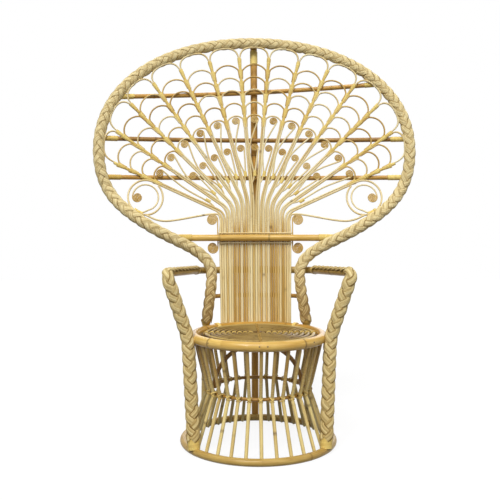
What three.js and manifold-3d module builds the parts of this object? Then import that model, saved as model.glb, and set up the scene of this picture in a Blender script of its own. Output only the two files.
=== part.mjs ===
// A rattan peacock chair: a caged hourglass base, a coiled seat, a hoop for the arms and a fan-shaped back.
// Millimetres, +Z up, the sitter faces -Y. The origin lies on the floor under the middle of the chair's box.
import * as THREE from 'three';
import { mergeVertices } from 'three/addons/utils/BufferGeometryUtils.js';
import Module from 'manifold-3d';

const wasm = await Module();
wasm.setup();

// Driving dimensions. Poles and canes are given by diameter, rings by the radius to the middle of their pole.
const fit = 0.3; // gap between pieces that touch

// Base ring, waist ring, seat rim and the spindles between them
const baseRadius = 256;
const basePole = 25;
const baseFlat = 0.8; // sanded off under the base ring so that it stands flat
const waistRadius = 164;
const waistPole = 12;
const waistHeight = 186;
const seatRadius = 218.5;
const seatPole = 33;
const seatHeight = 383; // top of the seat rim
const spindlePole = 12;
const spindlePlaces = 30; // the rear place is taken by the post
const spindleFoot = 4; // lower end of a spindle above the floor

// Seat: one cane coiled from the rim to the middle, over two crossed bars on an arch
const coilCane = 14;
const coilGap = 5;
const coilRimGap = 2;
const coilSink = 3; // top of the coil below the top of the rim
const coilEye = 16; // radius at which the coil ends in the middle
const seatBar = 16;
const archPole = 15;
const archSeat = 6; // how far the arch and the side bar are let into the bars above them
const barLap = 5; // how far the bars' ends reach under the rim

// Back surface: reclined, rolled round the seat rim below and nearly flat across the fan
const recline = 9;
const fanDish = 2200;
const dishHeight = 900; // the fan's dish holds from here up

// Frame hoop of the back
const framePole = 26;
const hoopTop = 1449;
const hoopHalfWidth = 588;
const hoopWidest = 1028; // height of the widest place
const hoopFullness = 0.58; // handle of the crown's curve, 0.55 for an ellipse
const hipFullness = 0.57; // handle of the curve below the widest place
const flankAcross = 398;
const flankHeight = 735;
const flankAngle = 58; // slope of the hoop there, from upright
const flankReach = 115; // handle of the curves on either side
const neckHalfWidth = 168;
const neckHeight = 560;
const uprightAngle = 132; // place on the seat rim, from the front

// Plaited covers on the frame and on the arm hoop
const braidThickness = 9;
const braidSpan = 104; // part of the pole that it covers, in degrees
const braidTurn = 25; // turned outward from the front of the frame
const braidLift = 24; // lower ends above the ring or rim below
const braidStop = 34; // rear ends of the arm covers before the frame

// Arm hoop
const armPole = 26;
const legFootAngle = 57; // place of the front legs on the base ring, from the front
const legSeatAngle = 72; // and on the seat rim
const armHalfWidth = 307;
const armFront = -90;
const armHeight = 588;
const armRearHeight = 571;
const armBend = 32; // length of pole taken up by a corner, on either side
const armRearGap = 3.8; // behind the middle of the panel, so that the straight rear run clears its curve

// Post and cross bars behind the fan, band in front of it
const postPole = 27;
const postFoot = 3; // lower end of the post above the floor
const postOverrun = 6; // upper end of the post above the middle of the hoop
const fanBar = 17.5;
const barGap = 0.8; // bars behind the canes stand this far off their curve
const topBarHeight = 1254;
const topBarRise = 28; // the top bar was fixed higher on the right, measured at the frame
const upperBarHeight = 1066;
const middleBarHeight = 920;
const lowerBar = 16;
const lowerBarHeight = 477;
const bandPole = 25;
const bandDrop = 39; // below the focus
const barSettle = 0.6; // share of the way from panel to frame after which a bar lies level with the frame
const bandShort = 22; // ends of the band before the middle line of the frame, which slants there

// Fan of hairpin canes, whose legs run down side by side as the panel behind the seat
const cane = 8.9;
const fanCane = 6; // shaved thinner above the bend
const feathers = 13;
const focusHeight = 732; // the spines spread from this point on the middle line
const spinePitch = 10.1; // degrees between spines
const spineDrop = 66; // top of a spine below the frame
const crownFullness = 0.5; // handles of a hairpin's crown for its height
const crownSteps = 3;
const caneBend = 32; // length of cane taken up by the bend into the fan
const caneTail = 12; // lower ends of the panel below the middle of the rim
const arcCane = 5;
const arcLow = 434; // distance of the lowest arc from the focus
const arcDrop = 68; // top inner arc below the crown of its hairpin
const arcRise = 0.66; // rise of an inner arc for its half width
const arcsInGap = 5;
const arcsInEndGap = 4; // in the two shorter gaps at either end
const endGaps = 2;

// Scrolls between the spines
const scrollCane = 5;
const scrollGap = 0.6; // between the turns
const scrollEye = 4.2; // radius at which a scroll ends
const scrollSteps = 6; // in each turn
const stemSteps = 4;
const outerScrollReach = 414;
const outerScrollRadius = 14;
const innerScrollReach = 306;
const innerScrollRadius = 11.5;
const scrollTie = 204; // distance from the focus at which both stems are tied
const scrollTieLength = 16; // the inner stem leaves the outer one over this length
const scrollTail = 166; // distance at which the stems' tail ends on a spine

// Wings: the outermost canes with their rings, side canes and side scrolls
const wingReach = 424; // where the ring leaves the spine
const ringStep = 17; // from the ring to the one inside it
const ringTurn = 338; // the outer ring ends under the spine again
const ringTie = 235; // bearing at which the inner ring leaves the outer one
const ringSettle = 50; // and the degrees that it takes
const ringScrollRadius = 20;
const wingScrollRadius = 23;
const wingScrollGap = 0.8;
const wingScrollSteps = 7;
const sideRise = 50; // crest of a side cane above the focus
const sideSag = 26; // how far it hangs below the crest before the ring
const sagPlace = 0.7; // where, as a share of the way to the ring
const sideScrollGap = 2; // lower side scroll below the band

// Sides of the sections
const ringSides = 10;
const poleSides = 8;
const rodSides = 6;
const caneSides = 5;
const thinSides = 4;

const { Vector2, Vector3 } = THREE;
const { degToRad: rad, radToDeg, lerp, smoothstep } = THREE.MathUtils;

// Sizes that follow from the ones above
const baseMiddle = basePole / 2 - baseFlat;
const rimMiddle = seatHeight - seatPole / 2;
const rimOuter = seatRadius + seatPole / 2;
const pitch = cane + fit;
const fanPitch = fanCane + fit;
const sideCrest = focusHeight + sideRise;
const bandHeight = focusHeight - bandDrop;
const panelCanes = 2 * feathers + 4;
const panelHalf = (panelCanes * pitch) / 2;
const panelRadius = rimOuter + fit + cane / 2;
const barLift = -(fanCane / 2 + barGap + fanBar / 2); // bars and frame lie this far behind the canes
const coilLevel = seatHeight - coilSink - coilCane / 2;
const barLevel = coilLevel - coilCane / 2 - fit - seatBar / 2;

// Sections for sweeping, anticlockwise
function roundSection(diameter, sides) {
  const corner = (i) => (2 * Math.PI * i) / sides;
  return Array.from({ length: sides }, (_, i) =>
    new Vector2(Math.cos(corner(i)), Math.sin(corner(i))).multiplyScalar(diameter / 2));
}

// A crescent that hugs a pole, centred on the +Y side of the section and grown by a margin
function braidSection(diameter, margin) {
  const outer = diameter / 2 + fit + braidThickness + margin;
  const half = rad(braidSpan) / 2 + margin / outer;
  const inner = (diameter / 2 + fit) / Math.cos(half / 3) - margin;
  const at = (radius, turn) => new Vector2(Math.sin(turn), Math.cos(turn)).multiplyScalar(radius);
  const shoulder = outer / Math.cos(half / 2);
  return [at(inner, half), at(shoulder, half / 2), at(shoulder, -half / 2),
    at(inner, -half), at(inner, -half / 3), at(inner, half / 3)];
}

// Direction of a row of stations at one of them
const wayAt = (stations, i) =>
  stations[Math.min(i + 1, stations.length - 1)].at.clone().sub(stations[Math.max(i - 1, 0)].at).normalize();

// One section carried through a row of stations, each a point with a facing direction and a size for the
// section, closed at both ends
function sweep(stations, section) {
  const count = section.length;
  const last = stations.length - 1;
  const position = [];
  stations.forEach(({ at, face, size = 1 }, i) => {
    const tangent = wayAt(stations, i);
    const front = face.clone().addScaledVector(tangent, -face.dot(tangent)).normalize();
    const side = front.clone().cross(tangent);
    for (const corner of section) {
      const point = at.clone().addScaledVector(side, size * corner.x).addScaledVector(front, size * corner.y);
      position.push(point.x, point.y, point.z);
    }
  });
  const index = [];
  for (let i = 0; i < last; i++) {
    for (let j = 0; j < count; j++) {
      const a = i * count + j;
      const b = i * count + ((j + 1) % count);
      index.push(a, b, b + count, a, b + count, a + count);
    }
  }
  for (const [a, b, c] of THREE.ShapeUtils.triangulateShape(section, [])) {
    index.push(c, b, a, last * count + a, last * count + b, last * count + c);
  }
  const geometry = new THREE.BufferGeometry();
  geometry.setAttribute('position', new THREE.Float32BufferAttribute(position, 3));
  geometry.setIndex(index);
  return geometry;
}

// A pole or cane along a row of points, all facing one way
function pole(points, diameter, sides, face = new Vector3(0, -1, 0)) {
  return sweep(points.map((at) => ({ at, face })), roundSection(diameter, sides));
}

// Joining and cutting
function solid(geometry) {
  const bare = new THREE.BufferGeometry();
  bare.setAttribute('position', geometry.getAttribute('position'));
  bare.setIndex(geometry.getIndex());
  const merged = mergeVertices(bare);
  const vertProperties = Float32Array.from(merged.getAttribute('position').array);
  const triVerts = Uint32Array.from(merged.getIndex().array);
  return new wasm.Manifold(new wasm.Mesh({ numProp: 3, vertProperties, triVerts }));
}

function surfaceOf(manifold) {
  const { vertProperties, triVerts } = manifold.getMesh();
  const geometry = new THREE.BufferGeometry();
  geometry.setAttribute('position', new THREE.BufferAttribute(vertProperties, 3));
  geometry.setIndex(new THREE.BufferAttribute(triVerts, 1));
  return geometry;
}

const join = (...pieces) => surfaceOf(pieces.map(solid).reduce((whole, piece) => whole.add(piece)));
const cut = (piece, ...tools) =>
  surfaceOf(tools.map(solid).reduce((rest, tool) => rest.subtract(tool), solid(piece)));

// Nodes of the chair
const chair = new THREE.Group();
const skin = {
  cane: new THREE.MeshStandardMaterial({ color: 0xe0cc94, roughness: 0.55, metalness: 0 }),
  pole: new THREE.MeshStandardMaterial({ color: 0xb98a45, roughness: 0.45, metalness: 0 }),
  bar: new THREE.MeshStandardMaterial({ color: 0xa9793a, roughness: 0.5, metalness: 0 }),
  coil: new THREE.MeshStandardMaterial({ color: 0xbd9a5c, roughness: 0.5, metalness: 0 }),
  braid: new THREE.MeshStandardMaterial({ color: 0xcdb987, roughness: 0.7, metalness: 0 }),
};

function node(name, geometry, material) {
  geometry.computeVertexNormals();
  const mesh = new THREE.Mesh(geometry, material);
  mesh.name = name;
  chair.add(mesh);
}

// Point round the chair's axis, with angles from the front
const around = (angle, radius, height) =>
  new Vector3(radius * Math.sin(rad(angle)), -radius * Math.cos(rad(angle)), height);
const mirrored = (point) => new Vector3(-point.x, point.y, point.z);
const upward = new Vector3(0, 0, 1);

// Where a line from a point touches a circle in a plane, on the right of the way there if side is 1
function touch(from, centre, radius, side) {
  const way = centre.clone().sub(from);
  const length = way.length();
  const turn = Math.acos(radius / length) * side;
  return centre.clone().add(way.multiplyScalar(-radius / length).rotateAround(new Vector2(), turn));
}

// Rings of bent pole, with a flat sanded off at the bottom where one is asked for
function ring(radius, diameter, middle, flat, sides) {
  const floor = middle - diameter / 2 + flat;
  const profile = roundSection(diameter, sides).map((corner) =>
    new Vector2(radius + corner.x, Math.max(middle + corner.y, floor)));
  profile.push(profile[0].clone());
  return new THREE.LatheGeometry(profile, spindlePlaces).rotateX(Math.PI / 2);
}

node('base_ring', ring(baseRadius, basePole, baseMiddle, baseFlat, ringSides), skin.pole);
node('waist_ring', ring(waistRadius, waistPole, waistHeight, 0, caneSides), skin.pole);
node('seat_rim', ring(seatRadius, seatPole, rimMiddle, 0, poleSides), skin.pole);

// Spindles run from inside the base ring past the outside of the waist ring to the underside of the rim
const waistPass = new Vector2(waistRadius + (waistPole + spindlePole) / 2 + fit, waistHeight);
const baseReach = (basePole + spindlePole) / 2 + fit;
const baseTouch = touch(waistPass, new Vector2(baseRadius, baseMiddle), baseReach, 1);
const rimWay = new Vector2(seatRadius, rimMiddle).sub(waistPass);
const spindleTop = waistPass.clone().addScaledVector(rimWay, 1 - (seatPole / 2 + fit) / rimWay.length());
const footShare = (waistHeight - spindleFoot) / (waistHeight - baseTouch.y);
const spindleEnd = waistPass.clone().lerp(baseTouch, footShare);

for (let place = 0; place < spindlePlaces; place++) {
  const angle = (360 / spindlePlaces) * place;
  if (2 * place !== spindlePlaces) {
    const points = [spindleEnd, waistPass, spindleTop].map((point) => around(angle, point.x, point.y));
    const number = String(place + 1).padStart(2, '0');
    node(`spindle_${number}`, pole(points, spindlePole, caneSides, around(angle + 90, 1, 0)), skin.cane);
  }
}

// Seat: the coil winds inward at a steady rate
const coilPitch = coilCane + coilGap;
const coilStart = seatRadius - seatPole / 2 - coilRimGap - coilCane / 2;
const coilTurns = (coilStart - coilEye) / coilPitch;
const coilSteps = 12; // in each turn

// Least gap between the turns of a winding, from points that lie at least a number of steps apart
function windGap(points, diameter, apart) {
  let least = Infinity;
  points.forEach((point, i) => {
    for (const later of points.slice(i + apart)) {
      least = Math.min(least, point.distanceTo(later) - diameter);
    }
  });
  return least;
}

const coilPoints = Array.from({ length: Math.floor(coilTurns * coilSteps) + 1 }, (_, i) =>
  around((360 * i) / coilSteps, coilStart - (coilPitch * i) / coilSteps, coilLevel));
node('seat_coil', pole(coilPoints, coilCane, caneSides, upward), skin.coil);
const coilLeast = windGap(coilPoints, coilCane, coilSteps / 2);
console.log('least gap between turns of the seat coil', coilLeast.toFixed(2));

// Cradle under the coil: two bars let into each other, and an arch that stands in the waist ring
const barEnd = seatRadius - seatPole / 2 + barLap;
const sideLevel = barLevel - seatBar + archSeat;
const archFoot = waistRadius - waistPole / 2 - fit - archPole / 2;
const archCrown = sideLevel - seatBar / 2 - archPole / 2 + archSeat;
const archSteps = 8;
const archPoints = Array.from({ length: archSteps + 1 }, (_, i) => {
  const turn = (Math.PI * i) / archSteps;
  return new Vector3(-archFoot * Math.cos(turn), 0, waistHeight + (archCrown - waistHeight) * Math.sin(turn));
});
const longEnds = [-barEnd, barEnd].map((end) => new Vector3(0, end, barLevel));
const sideEnds = [-barEnd, barEnd].map((end) => new Vector3(end, 0, sideLevel));
const cradle = join(pole(longEnds, seatBar, poleSides, upward), pole(sideEnds, seatBar, poleSides),
  pole(archPoints, archPole, rodSides));
const rimTool = ring(seatRadius, seatPole + 2 * fit, rimMiddle, 0, poleSides);
const baseTool = ring(baseRadius, basePole + 2 * fit, baseMiddle, baseFlat, ringSides);
node('seat_cradle', cut(cradle, rimTool), skin.bar);

// Directions on the back, with angles from straight up and positive to the right
const ray = (angle) => new Vector2(Math.sin(rad(angle)), Math.cos(rad(angle)));
const beside = (angle) => new Vector2(Math.cos(rad(angle)), -Math.sin(rad(angle)));

// Back surface: across is measured along the curve, lift forward of the middle of the canes
function backPoint(across, height, lift = 0) {
  const share = smoothstep(height, rimMiddle, dishHeight);
  const radius = 1 / lerp(1 / panelRadius, 1 / fanDish, share);
  const rear = panelRadius + (height - rimMiddle) * Math.tan(rad(recline));
  const turn = across / radius;
  const reach = radius - lift;
  return new Vector3(reach * Math.sin(turn), rear - radius + reach * Math.cos(turn), height);
}

const backFace = (across, height) => backPoint(across, height, 1).sub(backPoint(across, height, 0));
const onBack = (point, lift = 0) =>
  ({ at: backPoint(point.x, point.y, lift), face: backFace(point.x, point.y) });

// Cane on the back through a row of points; the last diameter given holds for the rest of the cane
function backCane(points, diameters, sides) {
  const sizeAt = (i) => diameters[Math.min(i, diameters.length - 1)];
  return sweep(points.map((point, i) => ({ ...onBack(point), size: sizeAt(i) })), roundSection(1, sides));
}

// Right half of the hoop from the crown to the neck, as an outline on the back surface
const crown = new Vector2(0, hoopTop);
const widest = new Vector2(hoopHalfWidth, hoopWidest);
const flank = new Vector2(flankAcross, flankHeight);
const neck = new Vector2(neckHalfWidth, neckHeight);
const flankWay = ray(flankAngle).negate();
const hoopCurves = [
  new THREE.CubicBezierCurve(crown, new Vector2(hoopHalfWidth * hoopFullness, hoopTop),
    new Vector2(hoopHalfWidth, lerp(hoopWidest, hoopTop, hoopFullness)), widest),
  new THREE.CubicBezierCurve(widest,
    new Vector2(hoopHalfWidth, lerp(hoopWidest, flankHeight, hipFullness)),
    flank.clone().addScaledVector(flankWay, -flankReach), flank),
  new THREE.CubicBezierCurve(flank, flank.clone().addScaledVector(flankWay, flankReach),
    new Vector2(neckHalfWidth, (flankHeight + neckHeight) / 2), neck),
];
const hoopOutline = (steps) =>
  hoopCurves.flatMap((curve, i) => curve.getPoints(steps[i]).slice(i === 0 ? 0 : 1));
const fineOutline = hoopOutline([120, 80, 80]);

// Upright of the frame from the neck past the outside of the rim down to the base ring
function uprightPoints() {
  const top = backPoint(neck.x, neck.y, barLift);
  const way = backPoint(neck.x, neck.y - 1, barLift).sub(top);
  const atRim = around(uprightAngle, rimOuter + framePole / 2 + fit, rimMiddle);
  const ringMiddle = around(uprightAngle, baseRadius, baseMiddle);
  const down = ringMiddle.clone().sub(atRim).normalize();
  const foot = ringMiddle.clone().addScaledVector(down, -(basePole / 2 + fit));
  const reach = (neckHeight - rimMiddle) / 3;
  const bend = new THREE.CubicBezierCurve3(top, top.clone().addScaledVector(way, reach),
    atRim.clone().addScaledVector(down, -reach), atRim);
  return [...bend.getPoints(5).slice(1), foot];
}

const upright = uprightPoints();
const uprightFace = backFace(neck.x, neck.y);
const frameHalf = [
  ...hoopOutline([9, 6, 5]).map((point) => onBack(point, barLift)),
  ...upright.map((at) => ({ at, face: uprightFace })),
];

// A row of stations for both halves from one half that starts on the middle line
function bothHalves(half) {
  const other = half.slice(1).reverse().map(({ at, face }) => ({ at: mirrored(at), face: mirrored(face) }));
  return [...other, ...half];
}

const frameStations = bothHalves(frameHalf);
node('frame_pole', cut(sweep(frameStations, roundSection(framePole, rodSides)), baseTool), skin.pole);

// The plait's face is turned from the front of the pole towards the outside of the hoop
function braidStations(stations) {
  return stations.map(({ at, face }, i) => (
    { at, face: face.clone().applyAxisAngle(wayAt(stations, i), -rad(braidTurn)) }));
}

const frameBraidHalf = frameHalf.filter(({ at }) => at.z > seatHeight + braidLift);
const frameBraid = braidStations(bothHalves(frameBraidHalf));
node('frame_braid', sweep(frameBraid, braidSection(framePole, 0)), skin.braid);
const frameTools = [
  sweep(frameStations, roundSection(framePole + 4 * fit, rodSides)),
  sweep(frameBraid, braidSection(framePole, fit)),
];

// Point of the frame's middle line at a height
function frameAt(height) {
  const fine = [...fineOutline.map((point) => backPoint(point.x, point.y, barLift)), ...upright];
  const i = fine.findIndex((point) => point.z <= height);
  const share = (fine[i - 1].z - height) / (fine[i - 1].z - fine[i].z);
  return fine[i - 1].clone().lerp(fine[i], share);
}

// Distance across the back at which the hoop passes a height, or its uprights below the neck
function hoopAcross(height) {
  const i = fineOutline.findIndex((point) => point.y <= height);
  if (i < 0) return neckHalfWidth;
  const share = (fineOutline[i - 1].y - height) / (fineOutline[i - 1].y - fineOutline[i].y);
  return lerp(fineOutline[i - 1].x, fineOutline[i].x, share);
}

// Fan bars run behind the canes from frame to frame, with their ends coped round the pole
function fanBarNode(name, height, rise) {
  const steps = 12;
  const left = hoopAcross(height - rise);
  const right = hoopAcross(height + rise);
  const points = Array.from({ length: steps + 1 }, (_, i) => {
    const share = (2 * i) / steps - 1;
    return onBack(new Vector2(share * (share < 0 ? left : right), height + share * rise), barLift);
  });
  node(name, cut(sweep(points, roundSection(fanBar, rodSides)), ...frameTools), skin.bar);
}

fanBarNode('top_bar', topBarHeight, topBarRise);
fanBarNode('upper_bar', upperBarHeight, 0);
fanBarNode('middle_bar', middleBarHeight, 0);

// Bars across the panel touch its canes and run out to the frame, or stop short of its middle line
function panelBar(name, height, diameter, side, short) {
  const lift = side * (cane / 2 + barGap + diameter / 2);
  const edge = panelHalf + pitch;
  const panel = [0, 0.2, 0.4, 0.6, 0.8, 1].map((share) => backPoint(share * edge, height, lift));
  const near = backPoint(lerp(edge, hoopAcross(height), barSettle), height, barLift);
  const end = frameAt(height);
  end.add(near.clone().sub(end).setLength(short));
  const half = [...panel, near, end];
  const points = [...half.slice(1).reverse().map(mirrored), ...half];
  node(name, cut(pole(points, diameter, rodSides, upward), ...frameTools), skin.bar);
}

panelBar('band_bar', bandHeight, bandPole, 1, bandShort);
panelBar('lower_bar', lowerBarHeight, lowerBar, -1, 0);

// Arm hoop: up the front legs, round the corners, along the arms and behind the frame and the panel
const hoopRear = backPoint(0, armRearHeight, -(cane / 2 + armRearGap + armPole / 2));
const frameSide = frameAt(armRearHeight);
const rearTouch = touch(new Vector2(hoopRear.x, hoopRear.y), new Vector2(frameSide.x, frameSide.y),
  (framePole + armPole) / 2 + fit, -1);
const rearCornerAcross = frameSide.x + (framePole + armPole) / 2 + braidThickness + armBend / 4 + 2 * fit;
const rearShare = rearCornerAcross / rearTouch.x;
const rearCornerDepth = lerp(hoopRear.y, rearTouch.y, rearShare);
const rearCorner = new Vector3(rearCornerAcross, rearCornerDepth, armRearHeight);
const frontCorner = new Vector3(armHalfWidth, armFront, armHeight);
const legSeat = around(legSeatAngle, rimOuter + armPole / 2 + fit, rimMiddle);
const legRing = around(legFootAngle, baseRadius, baseMiddle);
const legWay = legSeat.clone().sub(legRing).normalize();
const legFoot = legRing.clone().addScaledVector(legWay, basePole / 2 + fit);

// Points of a bent pole: straight runs between corners, each corner an arc-like bend
function bentPole(corners, bend, steps) {
  const points = [corners[0]];
  for (let i = 1; i < corners.length - 1; i++) {
    const before = corners[i - 1].clone().sub(corners[i]).setLength(bend).add(corners[i]);
    const after = corners[i + 1].clone().sub(corners[i]).setLength(bend).add(corners[i]);
    points.push(...new THREE.QuadraticBezierCurve3(before, corners[i], after).getPoints(steps));
  }
  points.push(corners.at(-1));
  return points;
}

const armSteps = 3; // in each bend
const armUp = new Vector3(0, -1, 1); // outside of the bends: front of the legs, top of the arms
const armCorners = [legFoot, legSeat, frontCorner, rearCorner, hoopRear];
const armHalf = bentPole(armCorners, armBend, armSteps).reverse();
const armStations = bothHalves(armHalf.map((at) => ({ at, face: armUp })));
node('arm_hoop', cut(sweep(armStations, roundSection(armPole, rodSides)), baseTool), skin.pole);

const braidFoot = legFoot.clone().addScaledVector(legWay, braidLift);
const braidRear = rearCorner.clone().sub(frontCorner);
braidRear.setLength(braidRear.length() - braidStop).add(frontCorner);
const coverHalf = bentPole([braidFoot, legSeat, frontCorner, braidRear], armBend, armSteps);
for (const [name, turn] of [['arm_braid_right', (point) => point], ['arm_braid_left', mirrored]]) {
  const stations = coverHalf.map((point) => ({ at: turn(point), face: armUp }));
  node(name, sweep(stations, braidSection(armPole, 0)), skin.braid);
}

// Centre post: outside the base ring, behind the arm hoop and the bars, up to the back of the hoop's crown
const postLine = (height, front) => backPoint(0, height, front - fit - postPole / 2);
const postPoints = [
  new Vector3(0, baseRadius + (basePole + postPole) / 2 + fit, postFoot),
  new Vector3(0, baseRadius + (basePole + postPole) / 2 + fit, basePole),
  postLine(armRearHeight, -(cane / 2 + armRearGap + armPole)),
  postLine(middleBarHeight, barLift - fanBar / 2),
  postLine(topBarHeight, barLift - fanBar / 2),
  postLine(hoopTop + postOverrun, barLift - framePole / 2),
];
node('center_post', pole(postPoints, postPole, poleSides), skin.bar);

// Fan layout: polar about the focus
const focus = new Vector2(0, focusHeight);
const fanPoint = (angle, offset, reach) =>
  focus.clone().addScaledVector(beside(angle), offset).addScaledVector(ray(angle), reach);

// Reach of the hoop from the focus along a ray, and its direction there from left to right
function hoopHit(angle) {
  const bearing = (point) => Math.atan2(point.x, point.y - focusHeight);
  const i = Math.max(1, fineOutline.findIndex((point) => bearing(point) >= rad(Math.abs(angle))));
  const before = fineOutline[i - 1];
  const after = fineOutline[i];
  const share = (rad(Math.abs(angle)) - bearing(before)) / (bearing(after) - bearing(before));
  const point = before.clone().lerp(after, share);
  const way = after.clone().sub(before).normalize();
  return { reach: point.distanceTo(focus), way: angle < 0 ? new Vector2(way.x, -way.y) : way };
}

// Leg of a cane, numbered across the panel from the left: up the panel, round the bend and along its spine
const bendSteps = 3;
const bendDiameters = Array.from({ length: bendSteps + 1 }, (_, i) => lerp(cane, fanCane, i / bendSteps));
const legDiameters = [cane, cane, cane, ...bendDiameters];

function legPoints(number, reach) {
  const place = Math.floor((number - 1) / 2) - feathers / 2;
  const offset = number % 2 === 1 ? -fanPitch / 2 : fanPitch / 2;
  const angle = place * spinePitch;
  const across = (number - (panelCanes - 1) / 2) * pitch;
  const turning = fanPoint(angle, offset, (across - offset * Math.cos(rad(angle))) / Math.sin(rad(angle)));
  const bendStart = new Vector2(across, turning.y - caneBend);
  const bendEnd = turning.clone().addScaledVector(ray(angle), caneBend);
  const bend = new THREE.QuadraticBezierCurve(bendStart, turning, bendEnd).getPoints(bendSteps);
  const panelHeights = [rimMiddle - caneTail, lowerBarHeight, (lowerBarHeight + bendStart.y) / 2];
  const panel = panelHeights.map((height) => new Vector2(across, height));
  const end = fanPoint(angle, offset, reach);
  return [...panel, ...bend, bend.at(-1).clone().lerp(end, 0.5), end];
}

const spineTop = (place) => hoopHit(place * spinePitch).reach - spineDrop;

// Hairpin: up one leg, over the crown against the frame and down the other leg
function hairpin(gap) {
  const angle = gap * spinePitch;
  const first = 2 * (gap + (feathers - 1) / 2) + 2;
  const left = legPoints(first, spineTop(gap - 0.5));
  const right = legPoints(first + 1, spineTop(gap + 0.5));
  const hit = hoopHit(angle);
  const inset = (framePole / 2 + fit + fanCane / 2) / Math.abs(ray(angle).cross(hit.way));
  const top = fanPoint(angle, 0, hit.reach - inset);
  const rise = top.distanceTo(left.at(-1)) * crownFullness;
  const fall = top.distanceTo(right.at(-1)) * crownFullness;
  const up = new THREE.CubicBezierCurve(left.at(-1),
    left.at(-1).clone().addScaledVector(ray(angle - spinePitch / 2), rise),
    top.clone().addScaledVector(hit.way, -rise), top);
  const down = new THREE.CubicBezierCurve(top, top.clone().addScaledVector(hit.way, fall),
    right.at(-1).clone().addScaledVector(ray(angle + spinePitch / 2), fall), right.at(-1));
  const over = [...up.getPoints(crownSteps).slice(1), ...down.getPoints(crownSteps).slice(1)];
  const middle = [...over, ...right.slice(legDiameters.length, -1).reverse()].map(() => fanCane);
  return {
    points: [...left, ...over, ...right.reverse().slice(1)],
    diameters: [...legDiameters, fanCane, fanCane, ...middle, ...legDiameters.toReversed()],
    reach: hit.reach - inset,
  };
}

// Inner arc of a gap, a flat arch let into the middle of both legs
function innerArc(angle, apex) {
  const half = rad(spinePitch / 2);
  const inside = -fanPitch / 2;
  const along = (apex + inside * Math.sin(half) - arcRise * inside * Math.cos(half))
    / (Math.cos(half) + arcRise * Math.sin(half));
  const width = along * Math.sin(half) + inside * Math.cos(half);
  const radius = (width * (1 + arcRise * arcRise)) / (2 * arcRise);
  const sweepAngle = Math.asin(width / radius);
  const steps = 4;
  return Array.from({ length: steps + 1 }, (_, i) => {
    const turn = sweepAngle * ((2 * i) / steps - 1);
    return fanPoint(angle, radius * Math.sin(turn), apex - radius * (1 - Math.cos(turn)));
  });
}

// Scroll that winds inward from the right of its rim, as offsets from its middle
function scroll(radius, diameter, gap, eye, steps) {
  const start = radius - diameter / 2;
  const turns = (start - eye) / (diameter + gap);
  return Array.from({ length: Math.floor(turns * steps) + 1 }, (_, i) => {
    const turn = (2 * Math.PI * i) / steps;
    const reach = start - ((diameter + gap) * i) / steps;
    return new Vector2(reach * Math.cos(turn), reach * Math.sin(turn));
  });
}

// Stem and scroll in one cane: the stem passes through points given by offset and reach
function scrollStem(angle, stem, reach, radius) {
  const path = new THREE.SplineCurve(stem.map(([x, y]) => new Vector2(x, y)));
  const run = path.getPoints(stemSteps).slice(0, -1);
  const curl = scroll(radius, scrollCane, scrollGap, scrollEye, scrollSteps)
    .map((point) => point.add(new Vector2(0, reach)));
  return [...run, ...curl].map((point) => fanPoint(angle, point.x, point.y));
}

// Feather: a hairpin with its inner arcs and its scroll canes
function feather(gap) {
  const angle = gap * spinePitch;
  const { points, diameters, reach } = hairpin(gap);
  const pieces = [backCane(points, diameters, caneSides)];
  const lastGap = (feathers - 1) / 2;
  const arcs = Math.abs(gap) > lastGap - endGaps ? arcsInEndGap : arcsInGap;
  for (let i = 0; i < arcs; i++) {
    const apex = lerp(arcLow, reach - arcDrop, i / (arcs - 1));
    pieces.push(backCane(innerArc(angle, apex), [arcCane], thinSides));
  }
  const halfGap = rad(spinePitch / 2);
  const spineSide = scrollTail * Math.sin(halfGap) - (fanPitch / 2) * Math.cos(halfGap);
  const apart = (scrollCane + scrollGap) / 2;
  const hasInner = Math.abs(gap) < lastGap;
  const passing = hasInner ? innerScrollRadius + 2 * apart - scrollCane / 2 : apart;
  const outerStem = [[-spineSide, scrollTail], [-apart, scrollTie], [-passing, innerScrollReach],
    [outerScrollRadius - scrollCane / 2, outerScrollReach]];
  const outer = scrollStem(angle, outerStem, outerScrollReach, outerScrollRadius);
  pieces.push(backCane(outer, [scrollCane], thinSides));
  if (hasInner) {
    const innerStem = [[-apart, scrollTie], [apart, scrollTie + scrollTieLength],
      [innerScrollRadius - scrollCane / 2, innerScrollReach]];
    const inner = scrollStem(angle, innerStem, innerScrollReach, innerScrollRadius);
    pieces.push(backCane(inner, [scrollCane], thinSides));
  }
  return join(...pieces);
}

const featherPlace = (gap) => (gap === 0 ? 'middle' : `${gap < 0 ? 'left' : 'right'}_${Math.abs(gap)}`);
for (let gap = -(feathers - 1) / 2; gap <= (feathers - 1) / 2; gap++) {
  node(`feather_${featherPlace(gap)}`, feather(gap), skin.cane);
}

// Point of a circle at a bearing in degrees, anticlockwise from the right, and an arc after its first point
const circlePoint = (centre, radius, bearing) =>
  new Vector2(Math.cos(rad(bearing)), Math.sin(rad(bearing))).multiplyScalar(radius).add(centre);
const arcPoints = (centre, radius, from, to, steps) =>
  Array.from({ length: steps }, (_, i) => circlePoint(centre, radius, lerp(from, to, (i + 1) / steps)));

// Radius of the largest ring that fits between the end of a spine and the frame
function ringRoom(end, ringWay) {
  const seat = fanCane / 2 + fit + framePole / 2;
  let radius = 0;
  let most = hoopHalfWidth;
  while (most - radius > fit / 10) {
    const trial = (radius + most) / 2;
    const middle = end.clone().addScaledVector(ringWay, trial);
    const clear = Math.min(...fineOutline.map((point) => Math.hypot(point.x + middle.x, point.y - middle.y)));
    if (clear > trial + seat) radius = trial;
    else most = trial;
  }
  return radius;
}

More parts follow.
